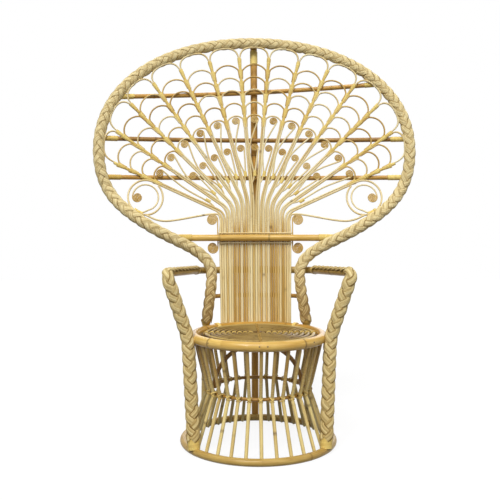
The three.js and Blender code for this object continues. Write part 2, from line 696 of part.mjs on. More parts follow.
// Wing on the left: the outermost cane rolls into a ring, a smaller ring with a scroll lies inside it,
// and a side cane with two scrolls runs from the panel's edge to the foot of the rings
function wing() {
  const place = -feathers / 2;
  const angle = place * spinePitch;
  const ringWay = beside(angle).negate();
  const stalk = legPoints(1, wingReach);
  const ringRadius = ringRoom(stalk.at(-1), ringWay);
  const innerRingRadius = ringRadius - ringStep;
  const middle = stalk.at(-1).clone().addScaledVector(ringWay, ringRadius);
  const start = radToDeg(Math.atan2(-ringWay.y, -ringWay.x));
  const outerRing = arcPoints(middle, ringRadius, start, start + ringTurn, 12);
  const rope = [...stalk, ...outerRing];

  const lead = [0, 0.5, 1].map((share) => {
    const reach = lerp(ringRadius, innerRingRadius, smoothstep(share, 0, 1));
    return circlePoint(middle, reach, ringTie + share * ringSettle);
  });
  const left = 540; // bearing of the left side, after one turn
  const innerRing = [...lead, ...arcPoints(middle, innerRingRadius, ringTie + ringSettle, left, 9)];
  const eyeReach = innerRingRadius - ringScrollRadius + scrollCane / 2;
  const eye = scroll(ringScrollRadius, scrollCane, wingScrollGap, scrollEye, wingScrollSteps)
    .map((point) => point.negate().add(middle).add(new Vector2(-eyeReach, 0))).slice(1);

  const across = -(panelCanes - 1) / 2 * pitch;
  const ringFoot = middle.y - ringRadius;
  const edge = across - pitch;
  const reach = wingScrollRadius - scrollCane / 2;
  const crest = new Vector2(edge - reach, sideCrest);
  const sagAcross = lerp(crest.x, middle.x, sagPlace);
  const underSag = fineOutline.filter((point) => point.y < hoopWidest).find((point) => point.x < -sagAcross);
  const sagFloor = underSag.y + 2 * framePole;
  const sideCurve = new THREE.SplineCurve([
    new Vector2(across, sideCrest - 2 * caneBend), new Vector2(across, sideCrest - caneBend / 2), crest,
    new Vector2(sagAcross, Math.max(Math.min(ringFoot, sideCrest - sideSag), sagFloor)),
    new Vector2(middle.x, ringFoot - fanCane / 4)]);
  const low = rimMiddle - caneTail;
  const panel = [0, 0.25, 0.5, 0.75].map((share) =>
    new Vector2(across, lerp(low, sideCrest - 2 * caneBend, share)));
  const sideCane = [...panel, ...sideCurve.getPoints(9)];

  const scrollMiddle = (height) => new Vector2(crest.x, height);
  const topReach = reach - (scrollCane + wingScrollGap) / 4; // a quarter turn in
  const upperHeight = sideCrest - topReach - (fanCane + scrollCane) / 4;
  const lowerHeight = bandHeight - bandPole / 2 - sideScrollGap - wingScrollRadius;
  const winding = scroll(wingScrollRadius, scrollCane, wingScrollGap, scrollEye, wingScrollSteps);
  const upper = winding.map((point) => point.clone().add(scrollMiddle(upperHeight)));
  const lower = winding.map((point) => new Vector2(point.x, -point.y).add(scrollMiddle(lowerHeight)));
  lower.reverse();
  const sideLeast = windGap(winding, scrollCane, wingScrollSteps - 2);
  console.log('least gap between turns of a side scroll', sideLeast.toFixed(2));
  const fanWinding = scroll(outerScrollRadius, scrollCane, scrollGap, scrollEye, scrollSteps);
  const fanLeast = windGap(fanWinding, scrollCane, scrollSteps - 1);
  console.log('least gap between turns of a fan scroll', fanLeast.toFixed(2));
  return { rope, innerRing: [...innerRing, ...eye], sideCane, sideScroll: [...lower, ...upper] };
}

const wingCanes = wing();
for (const [name, turn] of [['wing_left', 1], ['wing_right', -1]]) {
  const laid = (points, diameters, sides) =>
    backCane(points.map((point) => new Vector2(turn * point.x, point.y)), diameters, sides);
  const canes = ['rope', 'sideCane'].map((part) => laid(wingCanes[part], legDiameters, caneSides));
  const thin = ['innerRing', 'sideScroll'].map((part) => laid(wingCanes[part], [scrollCane], thinSides));
  node(name, join(...canes, ...thin), skin.cane);
}

// Origin under the middle of the chair's box
const box = new THREE.Box3().setFromObject(chair);
chair.position.y = -(box.min.y + box.max.y) / 2;

export default chair;
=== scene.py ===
"""A rattan peacock chair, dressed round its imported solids: canes, poles, plaits, peel wraps, stage and camera.

Sizes are written in millimetres in the chair's own frame, whose axis stands in the middle of the base ring,
and turn into metres in the shared frame when a piece is sketched. What the looms are given is in metres.
"""
import math

import bpy
import numpy as np
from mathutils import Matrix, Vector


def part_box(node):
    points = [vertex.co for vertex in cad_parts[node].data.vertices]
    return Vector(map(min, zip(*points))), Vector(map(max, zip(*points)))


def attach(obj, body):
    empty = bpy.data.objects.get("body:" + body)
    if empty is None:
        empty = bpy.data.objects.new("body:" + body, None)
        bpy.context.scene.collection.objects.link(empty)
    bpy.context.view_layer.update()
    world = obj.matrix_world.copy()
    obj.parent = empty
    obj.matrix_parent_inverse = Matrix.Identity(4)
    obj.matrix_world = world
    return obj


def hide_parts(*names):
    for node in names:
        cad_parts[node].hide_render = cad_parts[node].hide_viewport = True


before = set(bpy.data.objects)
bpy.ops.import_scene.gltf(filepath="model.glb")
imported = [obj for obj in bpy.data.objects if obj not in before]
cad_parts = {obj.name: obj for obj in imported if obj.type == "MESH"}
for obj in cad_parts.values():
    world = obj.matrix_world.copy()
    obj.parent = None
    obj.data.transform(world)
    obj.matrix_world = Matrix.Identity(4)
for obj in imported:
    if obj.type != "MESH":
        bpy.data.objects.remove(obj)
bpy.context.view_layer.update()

# Sizes shared with the solids
FIT = 0.3
BASE_RADIUS, BASE_POLE, BASE_FLAT = 256, 25, 0.8
WAIST_RADIUS, WAIST_POLE, WAIST_HEIGHT = 164, 12, 186
SEAT_RADIUS, SEAT_POLE, SEAT_HEIGHT = 218.5, 33, 383
SPINDLE_POLE, SPINDLE_PLACES, SPINDLE_FOOT, SPINDLE_BEND = 12, 30, 4, 22
COIL_CANE, COIL_GAP, COIL_RIM_GAP, COIL_SINK, COIL_EYE = 14, 5, 2, 3, 16
SEAT_BAR, ARCH_POLE, ARCH_SEAT, BAR_LAP = 16, 15, 6, 5
RECLINE, FAN_DISH, DISH_HEIGHT = math.radians(9), 2200, 900
FRAME_POLE, HOOP_TOP, HOOP_HALF_WIDTH, HOOP_WIDEST = 26, 1449, 588, 1028
HOOP_FULLNESS, HIP_FULLNESS = 0.58, 0.57
FLANK, FLANK_ANGLE, FLANK_REACH = np.array([398.0, 735.0]), 58, 115
NECK, UPRIGHT_ANGLE = np.array([168.0, 560.0]), 132
BRAID_THICKNESS, BRAID_TURN, BRAID_LIFT, BRAID_STOP = 9, 25, 24, 34
ARM_POLE, LEG_FOOT_ANGLE, LEG_SEAT_ANGLE = 26, 57, 72
ARM_HALF_WIDTH, ARM_FRONT, ARM_HEIGHT, ARM_REAR_HEIGHT = 307, -90, 588, 571
ARM_BEND, ARM_REAR_GAP = 32, 3.8
POST_POLE, POST_FOOT, POST_OVERRUN = 27, 3, 6
FAN_BAR, BAR_GAP, TOP_BAR_HEIGHT, TOP_BAR_RISE = 17.5, 0.8, 1254, 28
UPPER_BAR_HEIGHT, MIDDLE_BAR_HEIGHT = 1066, 920
LOWER_BAR, LOWER_BAR_HEIGHT, BAND_POLE, BAND_DROP = 16, 477, 25, 39
BAR_SETTLE, BAND_SHORT = 0.6, 22
CANE, FAN_CANE, FEATHERS, FOCUS_HEIGHT, SPINE_PITCH, SPINE_DROP = 8.9, 6, 13, 732, 10.1, 66
CROWN_FULLNESS, CANE_BEND, CANE_TAIL = 0.5, 32, 12
ARC_CANE, ARC_LOW, ARC_DROP, ARC_RISE = 5, 434, 68, 0.66
ARCS_IN_GAP, ARCS_IN_END_GAP, END_GAPS = 5, 4, 2
SCROLL_CANE, SCROLL_GAP = 5, 0.6
SCROLL_TIE, SCROLL_TIE_LENGTH, SCROLL_TAIL = 204, 16, 166
WING_REACH, RING_STEP, RING_TURN, RING_TIE, RING_SETTLE = 424, 17, 338, 235, 50
RING_SCROLL, WING_SCROLL, WING_SCROLL_GAP = 20, 23, 0.8
SIDE_RISE, SIDE_SAG, SAG_PLACE, SIDE_SCROLL_GAP = 50, 26, 0.7, 2

# Sizes that follow
BASE_MIDDLE = BASE_POLE / 2 - BASE_FLAT
RIM_MIDDLE = SEAT_HEIGHT - SEAT_POLE / 2
RIM_OUTER = SEAT_RADIUS + SEAT_POLE / 2
RIM_INNER = SEAT_RADIUS - SEAT_POLE / 2
PITCH = CANE + FIT
FAN_PITCH = FAN_CANE + FIT
BAND_HEIGHT = FOCUS_HEIGHT - BAND_DROP
SIDE_CREST = FOCUS_HEIGHT + SIDE_RISE
PANEL_CANES = 2 * FEATHERS + 4
PANEL_HALF = PANEL_CANES * PITCH / 2
PANEL_RADIUS = RIM_OUTER + FIT + CANE / 2
BAR_LIFT = -(FAN_CANE / 2 + BAR_GAP + FAN_BAR / 2)
BAR_INSET = FRAME_POLE / 2 - 1
COIL_START = RIM_INNER - COIL_RIM_GAP - COIL_CANE / 2
COIL_PITCH = COIL_CANE + COIL_GAP
COIL_LEVEL = SEAT_HEIGHT - COIL_SINK - COIL_CANE / 2
BAR_LEVEL = COIL_LEVEL - COIL_CANE / 2 - FIT - SEAT_BAR / 2
LAST_GAP = (FEATHERS - 1) // 2
GAPS = range(-LAST_GAP, LAST_GAP + 1)
HALF_GAP = math.radians(SPINE_PITCH / 2)

# Sizes of the dressing alone
STATION = 5.0  # distance between the points of a pole
FULLNESS = 1.5  # the shaved canes' plump middle, past their mean thickness
SHAVED, SHAVING = 210, 0.6  # run in which a cane thins from the panel to the fan, and how soon
PAIR_HALF = 3.85  # middle of a cane from the middle of its spine, below the lowest tie
SLIM_FROM, SLIM_TO = 395, 428  # reach from the focus in which paired canes close up into a wrapped spine
SPINE_CANE, SPINE_HALF, CROWN_CANE = 5, 2.5, 8  # canes above the lowest tie
OUTER_SCROLL, INNER_SCROLL = (414, 17), (306, 16.4)  # reach from the focus and radius
WOUND_GAP, WOUND_EYE, WOUND_PAST = 0.1, 2.6, 0.35  # a scroll's gap, its eye, and the part of a turn past it
PLAIT_LIFT = 7  # the plait's end above the seat
ARM_GIRTH = 0.46  # width of the plait on the arms as a share of that on the legs

MM = 0.001
FRONT = (0, -1, 0)
low_corner, high_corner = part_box("base_ring")
AXIS = np.array([0, (low_corner.y + high_corner.y) / 2, 0])
chance = np.random.default_rng(26)


# Node trees written as expressions
def math_of(operation):
    """A method of wires that adds a Math node."""
    return lambda wire, *others: wire.math(operation, wire, *others)


def both_ways(operation):
    """An operator of wires and its reflected form."""
    return math_of(operation), lambda wire, other: wire.math(operation, other, wire)


def vector_of(operation):
    """A method of wires that adds a Vector Math node."""
    return lambda wire, *others: wire.vector(operation, wire, *others)


class Wire:
    """An output of a node; sums and products of wires add Math nodes to their tree."""

    def __init__(self, tree, socket):
        self.tree = tree
        self.socket = socket

    def math(self, operation, *values):
        return self.tree.node("ShaderNodeMath", {"operation": operation}, dict(enumerate(values)))

    __add__, __radd__ = both_ways("ADD")
    __sub__, __rsub__ = both_ways("SUBTRACT")
    __mul__, __rmul__ = both_ways("MULTIPLY")
    __truediv__, __rtruediv__ = both_ways("DIVIDE")
    __pow__, __rpow__ = both_ways("POWER")
    sin, cos, floor, fraction = map(math_of, ("SINE", "COSINE", "FLOOR", "FRACT"))

    def share(self):
        """The value held between 0 and 1."""
        return self.math("MINIMUM", self.math("MAXIMUM", self, 0), 1)

    def swing(self, amount):
        """Noise as a swing to both sides of nothing."""
        return (self - 0.5) * amount

    def vector(self, operation, *values, **named):
        inputs = {**dict(enumerate(values)), **named}
        return self.tree.node("ShaderNodeVectorMath", {"operation": operation}, inputs)

    plus, minus, over = map(vector_of, ("ADD", "SUBTRACT", "DIVIDE"))
    cross, unit = map(vector_of, ("CROSS_PRODUCT", "NORMALIZE"))

    def times(self, factor):
        return self.vector("SCALE", self, Scale=factor)

    def dot(self, other):
        return self.vector("DOT_PRODUCT", self, other).twin("Value")

    def twin(self, name):
        """Another output of the same node."""
        return Wire(self.tree, self.socket.node.outputs[name])


class Tree:
    """A node tree that is written as expressions."""

    def __init__(self, nodes):
        self.nodes = nodes

    def join(self, value, socket):
        """Links a wire to a socket, or sets a plain value on it."""
        if isinstance(value, Wire):
            self.nodes.links.new(value.socket, socket)
        else:
            socket.default_value = value

    def node(self, kind, settings=None, inputs=None, output=0):
        made = self.nodes.nodes.new(kind)
        for name, value in (settings or {}).items():
            setattr(made, name, value)
        for name, value in (inputs or {}).items():
            self.join(value, made.inputs[name])
        return Wire(self, made.outputs[output])

    def seen(self):
        """1 for rays that show a backdrop: the camera's own, mirrored ones and those through glass."""
        ray = self.node("ShaderNodeLightPath")
        return (ray.twin("Is Camera Ray") + ray.twin("Is Glossy Ray") + ray.twin("Is Transmission Ray")).share()


# Looms
STRIP_SIDES = 6
STRIP_SHIFT = 7  # metres that a strip's grain moves along it for a whole tone
PLAIT_LAP, WRAP_LAP = 1.32, 1.35  # a strip's width as a share of the pitch
STRANDS = 3
WAVER_SCALE, WAVER_APART = 26.0, 3.7
WAVER_ASIDE, WAVER_OUT = 0.0024, 0.0014
TONE_STEP, TONE_START, TONE_RANGE, EDGE_PAINTED_SHADE = 0.618, 0.2, 0.95, 0.8  # tones of a plait's strips; the last is painted shade that darkens the strands' edges
NAIL_DOME = 0.45


class Loom(Tree):
    """A Geometry Nodes tree with named inputs, grown on a sketch of lines or points."""

    KINDS = {float: "NodeSocketFloat", int: "NodeSocketInt", bpy.types.Material: "NodeSocketMaterial"}

    def __init__(self, name, **inputs):
        super().__init__(bpy.data.node_groups.new(name, "GeometryNodeTree"))
        face = self.nodes.interface
        face.new_socket("Sketch", in_out="INPUT", socket_type="NodeSocketGeometry")
        self.keys = {}
        for key, kind in inputs.items():
            self.keys[key] = face.new_socket(key, in_out="INPUT", socket_type=self.KINDS[kind]).identifier
        face.new_socket("Piece", in_out="OUTPUT", socket_type="NodeSocketGeometry")
        self.start = self.node("NodeGroupInput")

    def given(self, name):
        return self.start.twin(name)

    def named(self, name, kind="FLOAT"):
        return self.node("GeometryNodeInputNamedAttribute", {"data_type": kind}, {"Name": name})

    def stored(self, geometry, name, value, kind="FLOAT"):
        settings = {"data_type": kind, "domain": "POINT"}
        inputs = {"Geometry": geometry, "Name": name, "Value": value}
        return self.node("GeometryNodeStoreNamedAttribute", settings, inputs)

    def position(self):
        return self.node("GeometryNodeInputPosition")

    def run(self):
        """Distance along a curve."""
        return self.node("GeometryNodeSplineParameter").twin("Length")

    def finish(self, geometry):
        smooth = self.node("GeometryNodeSetShadeSmooth", {}, {"Geometry": geometry})
        whole = self.node("GeometryNodeRealizeInstances", {}, {"Geometry": smooth})
        done = self.node("GeometryNodeSetMaterial", {}, {"Geometry": whole, "Material": self.given("Material")})
        self.join(done, self.nodes.nodes.new("NodeGroupOutput").inputs["Piece"])

    def curves(self):
        return self.node("GeometryNodeMeshToCurve", {}, {"Mesh": self.given("Sketch")})

    def circle(self, sides):
        inputs = {"Resolution": sides, "Radius": 1.0}
        return self.node("GeometryNodeCurvePrimitiveCircle", {"mode": "RADIUS"}, inputs)

    def swept(self, curve, profile, scale):
        inputs = {"Curve": curve, "Profile Curve": profile, "Scale": scale, "Fill Caps": True}
        return self.node("GeometryNodeCurveToMesh", {}, inputs)

    def strip_profile(self, width, thickness):
        """A flat oval, thin along the facing of the curve that carries it."""
        inputs = {"Geometry": self.circle(STRIP_SIDES), "Rotation": (0, 0, math.pi / STRIP_SIDES)}
        level = self.node("GeometryNodeTransform", {}, inputs)
        size = self.node("ShaderNodeCombineXYZ", {}, {"X": thickness / 2, "Y": width / 2, "Z": 1.0})
        return self.node("GeometryNodeTransform", {}, {"Geometry": level, "Scale": size})

    def rail(self, step):
        """The sketch as curves with even stations, and the two directions across them."""
        even = self.node("GeometryNodeResampleCurve", {"mode": "LENGTH"}, {"Curve": self.curves(), "Length": step})
        tangent = self.node("GeometryNodeInputTangent")
        face = self.named("face", "FLOAT_VECTOR")
        front = face.minus(tangent.times(face.dot(tangent))).unit()
        return even, tangent, front, front.cross(tangent)

    def ribbon(self, curve, place, outward, tone, width, thickness):
        """Moves the stations of a curve to their places and carries a flat strip along it."""
        marked = self.stored(curve, "outward", outward, "FLOAT_VECTOR")
        marked = self.stored(marked, "along", self.run() + tone * STRIP_SHIFT)
        marked = self.stored(marked, "tone", tone)
        laid = self.node("GeometryNodeSetPosition", {}, {"Geometry": marked, "Position": place})
        inputs = {"Curve": laid, "Normal": self.named("outward", "FLOAT_VECTOR")}
        turned = self.node("GeometryNodeSetCurveNormal", {"mode": "FREE"}, inputs)
        profile = self.strip_profile(width, thickness)
        profile = self.stored(profile, "skin", self.position().over((MM, MM, 1)), "FLOAT_VECTOR")
        return self.swept(turned, profile, 1.0)


def cane_loom():
    """Round canes along every line of a sketch, as thick as its points say."""
    loom = Loom("canes", Sides=int, Material=bpy.types.Material)
    curve = loom.stored(loom.curves(), "along", loom.run())
    circle = loom.stored(loom.circle(loom.given("Sides")), "skin", loom.position(), "FLOAT_VECTOR")
    loom.finish(loom.swept(curve, circle, loom.named("thick")))
    return loom


def plait_loom():
    """A flat plait of three strands, each of several strips, that hugs a pole along the lines of a sketch."""
    loom = Loom("plaits", Strips=int, Period=float, Sway=float, Lift=float, Crown=float, Core=float, Pitch=float,
                Thickness=float, Step=float, Material=bpy.types.Material)
    curve, tangent, front, side = loom.rail(loom.given("Step"))
    strips, period, pitch = (loom.given(name) for name in ("Strips", "Period", "Pitch"))
    inputs = {"Geometry": curve, "Amount": strips * STRANDS}
    copies = loom.node("GeometryNodeDuplicateElements", {"domain": "SPLINE"}, inputs)
    number = copies.twin("Duplicate Index")
    strand = (number / strips + 0.001).floor()  # a little more, so that whole numbers keep their strand
    strip = number - strand * strips
    turn = (loom.run() / period + strand / STRANDS) * math.tau
    girth = loom.named("girth")
    sway = loom.given("Sway") * girth
    slope = turn.cos() * sway * math.tau / period
    slant = 1 / (slope * slope + 1) ** 0.5
    row = strip - (strips - 1) / 2
    middle = loom.position()

    def waver(start, amount):
        """A slow swing of a strip about its place."""
        inputs = {"Vector": middle, "W": number * WAVER_APART + start, "Scale": WAVER_SCALE, "Detail": 1.0}
        return loom.node("ShaderNodeTexNoise", {"noise_dimensions": "4D"}, inputs).swing(amount)

    aside = row * pitch * girth + waver(0.0, WAVER_ASIDE)
    core = loom.given("Core") * (girth * 0.5 + 0.5)
    angle = (turn.sin() * sway + aside * slant) / core
    edge = (row * 2 / strips) ** 2
    reach = core - (turn * 2).sin() * loom.given("Lift") - edge * loom.given("Crown") + waver(40.0, WAVER_OUT)
    outward = side.times(angle.sin()).plus(front.times(angle.cos()))
    place = middle.plus(outward.times(reach)).plus(tangent.times(aside * slope * slant * -1))
    # the edge term is painted shade along the strands' edges, where they tuck under each other
    tone = (number * TONE_STEP + TONE_START).fraction() * TONE_RANGE + edge * EDGE_PAINTED_SHADE
    loom.finish(loom.ribbon(copies, place, outward, tone, pitch * PLAIT_LAP, loom.given("Thickness")))
    return loom


def wrap_loom():
    """Peel wound round and round the lines of a sketch, an oval whose half widths its points give."""
    loom = Loom("wraps", Pitch=float, Thickness=float, Step=float, Material=bpy.types.Material)
    curve, _, front, side = loom.rail(loom.given("Step"))
    pitch, wide, deep = loom.given("Pitch"), loom.named("wide"), loom.named("deep")
    turn = loom.run() / pitch * math.tau
    offset = side.times(turn.cos() * wide).plus(front.times(turn.sin() * deep))
    outward = side.times(turn.cos() / wide).plus(front.times(turn.sin() / deep)).unit()
    place = loom.position().plus(offset)
    loom.finish(loom.ribbon(curve, place, outward, loom.named("tone"), pitch * WRAP_LAP, loom.given("Thickness")))
    return loom


def nail_loom():
    """A domed nail head on every point of a sketch, facing the way that the point says."""
    loom = Loom("nails", Radius=float, Material=bpy.types.Material)
    points = loom.node("GeometryNodeMeshToPoints", {"mode": "VERTICES"}, {"Mesh": loom.given("Sketch")})
    head = loom.node("GeometryNodeMeshUVSphere", {}, {"Segments": 10, "Rings": 6, "Radius": loom.given("Radius")})
    flat = loom.node("GeometryNodeTransform", {}, {"Geometry": head, "Scale": (1, 1, NAIL_DOME)})
    inputs = {"Vector": loom.named("face", "FLOAT_VECTOR")}
    turned = loom.node("FunctionNodeAlignRotationToVector", {"axis": "Z"}, inputs)
    inputs = {"Points": points, "Instance": flat, "Rotation": turned}
    loom.finish(loom.node("GeometryNodeInstanceOnPoints", {}, inputs))
    return loom


canes = cane_loom()
plaits = plait_loom()
wraps = wrap_loom()
nails = nail_loom()


# Finishes
def linear(seen):
    """A colour as it is seen on a screen, in the renderer's linear values."""
    shares = [value / 255 for value in seen]
    return (*(share / 12.92 if share <= 0.04045 else ((share + 0.055) / 1.055) ** 2.4 for share in shares), 1)


class Finish(Tree):
    """A material whose surface is written as expressions on the marks that a piece's mesh carries."""

    def __init__(self, name):
        self.material = bpy.data.materials.new(name)
        self.material.use_nodes = True
        super().__init__(self.material.node_tree)
        self.shader = self.nodes.nodes["Principled BSDF"]

    def mark(self, name, output="Fac"):
        return self.node("ShaderNodeAttribute", {"attribute_name": name}).twin(output)

    def blend(self, share, first, second):
        """A mix of two colours, each a wire or a colour as it is seen."""
        first, second = (side if isinstance(side, Wire) else linear(side) for side in (first, second))
        return self.node("ShaderNodeMix", {"data_type": "RGBA"}, {0: share, 6: first, 7: second}, 2)

    def noise(self, place, scale, detail):
        inputs = {"Vector": place, "Scale": scale, "Detail": detail, "Roughness": 0.6}
        return self.node("ShaderNodeTexNoise", {"noise_dimensions": "3D"}, inputs)

    def bump(self, height, strength, distance):
        return self.node("ShaderNodeBump", {}, {"Strength": strength, "Distance": distance, "Height": height})

    def set(self, **values):
        for name, value in values.items():
            self.join(value, self.shader.inputs[name.replace("_", " ")])


class Skin(Finish):
    """A finish whose grain follows a cane or a strip."""

    def __init__(self, name):
        super().__init__(name)
        self.along = self.mark("along")
        self.tone = self.mark("tone")
        skin = self.node("ShaderNodeSeparateXYZ", {}, {"Vector": self.mark("skin", "Vector")})
        self.across, self.over = skin.twin("X"), skin.twin("Y")

    def grain(self, around, along, apart, detail):
        """Noise with a fineness around and along the skin, that starts further on for each tone."""
        inputs = {"X": self.across * around, "Y": self.over * around, "Z": self.along * along + self.tone * apart}
        return self.noise(self.node("ShaderNodeCombineXYZ", {}, inputs), 1.0, detail)


def rattan(name, pale, deep, brown, ring, rough, coat, painted_gap_shade=0.0):
    """Rattan skin: a tone for each cane from pale over deep to brown, long streaks, patches, and leaf rings.

    The last argument browns the lower side of a flat winding: painted shade in the gaps between its turns.
    """
    skin = Skin(name)
    knot = skin.mark("knot")
    streak = skin.grain(around=2.2, along=14, apart=57, detail=3.0)
    fibre = skin.grain(around=11, along=26, apart=57, detail=2.0)
    patch = skin.grain(around=0.5, along=9, apart=57, detail=2.0)
    share = skin.tone * 0.85 + streak.swing(1.1) + patch.swing(0.8) + fibre.swing(0.45) + 0.1
    if painted_gap_shade:
        # painted shade: the lower side of each turn darkens where the gaps between turns lie in shade
        share = share + (skin.over * 1.4 + 1.1).share() * painted_gap_shade
    body = skin.blend(share.share(), pale, deep)
    body = skin.blend((share - 0.9).share(), body, brown)
    body = skin.blend((knot * 0.75).share(), body, ring)
    relief = fibre * 0.6 + streak * 0.4 - knot * 0.5
    skin.set(Base_Color=body, Roughness=(rough + fibre.swing(0.3) + knot * 0.1).share(),
             Normal=skin.bump(relief, 0.35, 0.0006), Coat_Weight=coat, Coat_Roughness=0.16, Specular_IOR_Level=0.25)
    return skin.material


def peel(name, pale, deep, stain, rough, mottle=0.0):
    """Split peel: flat strips, each with its own tone, with fine fibres along it and stain on the darkest strips; on
    plaits the strand edges and the shade mark add painted shade.

    Mottle sets the turns of a wrap apart.
    """
    skin = Skin(name)
    shade = skin.mark("shade")
    fibre = skin.grain(around=3, along=30, apart=91, detail=3.0)
    drift = skin.grain(around=0, along=7, apart=23, detail=2.0)
    # the shade mark is painted light and shade along a plait
    share = skin.tone * 0.6 + fibre.swing(1.2) + drift.swing(0.9) + shade + 0.16
    if mottle:
        share = share + skin.grain(around=0, along=170, apart=0, detail=2.0).swing(mottle)
    body = skin.blend(share.share(), pale, deep)
    # the stain colour takes the darkest strips and the painted shade of the strand edges and the shade mark
    body = skin.blend((skin.tone + shade - 0.75).share(), body, stain)
    skin.set(Base_Color=body, Roughness=(rough + fibre.swing(0.25)).share(),
             Normal=skin.bump(fibre, 0.3, 0.0005), Specular_IOR_Level=0.2)
    return skin.material


def nail_metal():
    """Dull nail heads, browned in places."""
    finish = Finish("nail_heads")
    stain = finish.noise(finish.node("ShaderNodeTexCoord").twin("Object"), 420.0, 3.0)
    finish.set(Base_Color=finish.blend(stain, (96, 78, 52), (160, 138, 98)),
               Roughness=(stain * 0.4 + 0.3).share(), Metallic=0.7)
    return finish.material


UMBER, BARK, SMOKE = (142, 102, 42), (96, 67, 28), (66, 45, 18)
cane_skin = rattan("cane_skin", (233, 219, 172), (196, 159, 80), UMBER, BARK, rough=0.42, coat=0.25)
cage_skin = rattan("cage_skin", (226, 206, 138), (168, 130, 62), UMBER, BARK, rough=0.42, coat=0.2)
pole_skin = rattan("pole_skin", (220, 193, 114), (168, 133, 64), UMBER, BARK, rough=0.42, coat=0.12)
rim_skin = rattan("rim_skin", (233, 200, 112), (192, 145, 60), UMBER, BARK, rough=0.36, coat=0.28)
bar_skin = rattan("bar_skin", (200, 152, 68), UMBER, BARK, SMOKE, rough=0.4, coat=0.2)
coil_skin = rattan("coil_skin", (188, 161, 90), (120, 94, 44), BARK, SMOKE, rough=0.42, coat=0.12, painted_gap_shade=2.0)
plait_peel = peel("plait_peel", (240, 225, 174), (206, 181, 124), (140, 112, 64), rough=0.58)
leg_peel = peel("leg_peel", (232, 214, 158), (178, 149, 87), (120, 93, 47), rough=0.58)
wrap_peel = peel("wrap_peel", (238, 214, 130), (194, 153, 66), (130, 94, 38), rough=0.44, mottle=1.6)
lash_peel = peel("lash_peel", (226, 198, 118), (164, 124, 54), (120, 88, 38), rough=0.5)
nail_steel = nail_metal()


# Lines in space
def unit(vector):
    return vector / np.linalg.norm(vector)


def units(vectors):
    return vectors / np.linalg.norm(vectors, axis=1)[:, None]


def runs_along(points):
    """Distance along a row of points to each of them."""
    return np.concatenate([[0], np.cumsum(np.linalg.norm(np.diff(points, axis=0), axis=1))])


def even(points, step):
    """Points spaced evenly along a row of points, about a step apart."""
    points = np.asarray(points, float)
    runs = runs_along(points)
    places = np.linspace(0, runs[-1], max(2, round(runs[-1] / step) + 1))
    return np.stack([np.interp(places, runs, values) for values in points.T], axis=1)


def eased(share):
    """A share that starts and ends gently."""
    return share * share * (3 - 2 * share)


def bezier(*handles, count):
    """Points of a Bezier curve with any number of handles."""
    share = np.linspace(0, 1, count + 1)[:, None]
    rows = [np.repeat(np.asarray(handle, float)[None], count + 1, axis=0) for handle in handles]
    while len(rows) > 1:
        rows = [first + (second - first) * share for first, second in zip(rows, rows[1:])]
    return rows[0]


def spline(points, count=16):
    """A smooth curve through a row of points, with a number of steps in each span."""
    points = np.asarray(points, float)
    last = len(points) - 1
    share = np.linspace(0, 1, count, endpoint=False)[:, None]
    spans = []
    for i in range(last):
        before, start, end, after = (points[max(0, min(last, i + k))] for k in (-1, 0, 1, 2))
        lead, trail = (end - before) / 2, (after - start) / 2
        cubic = 2 * start - 2 * end + lead + trail
        square = -3 * start + 3 * end - 2 * lead - trail
        spans.append(((cubic * share + square) * share + lead) * share + start)
    return np.concatenate([*spans, points[-1:]])


def around(angle, radius, height):
    """Points round the chair's axis, with angles in degrees from the front."""
    turn = np.radians(angle)
    return np.stack(np.broadcast_arrays(radius * np.sin(turn), -radius * np.cos(turn), height), axis=-1)


def circle(radius, height):
    return around(np.linspace(0, 360, round(math.tau * radius / STATION) + 1), radius, height)


def back(across, height, lift=0.0):
    """Points of the back surface: reclined, rolled round the seat rim below and nearly flat across the fan."""
    across, height, lift = np.broadcast_arrays(*(np.asarray(value, float) for value in (across, height, lift)))
    share = eased(np.clip((height - RIM_MIDDLE) / (DISH_HEIGHT - RIM_MIDDLE), 0, 1))
    radius = 1 / (1 / PANEL_RADIUS + (1 / FAN_DISH - 1 / PANEL_RADIUS) * share)
    rear = PANEL_RADIUS + (height - RIM_MIDDLE) * math.tan(RECLINE)
    turn = across / radius
    reach = radius - lift
    return np.stack([reach * np.sin(turn), rear - radius + reach * np.cos(turn), height], axis=-1)


def on_back(flat, lift=0.0):
    flat = np.asarray(flat, float)
    return back(flat[:, 0], flat[:, 1], lift)


def back_face(flat):
    return on_back(flat, 1.0) - on_back(flat, 0.0)


def mirrored(points):
    return np.asarray(points, float) * (-1, 1, 1)


def both_halves(half):
    return np.concatenate([mirrored(half[:0:-1]), half])


# Sketches and the pieces that grow on them
KNOT_WIDTH, KNOT_SHARE, KNOT_SWELL, KNOT_SPREAD = 2.4, 0.16, 0.05, 2.2
KNOT_FIRST, KNOT_NEXT, KNOT_FREE = (0.2, 0.9), (0.75, 1.3), 20  # shares of the spacing, and the bare end
BEVEL, BEVEL_END = 0.35, 0.72
POLE_TONES = (0.2, 0.8)


def hump(runs, middle, width):
    return np.exp(-(((runs - middle) / width) ** 2))


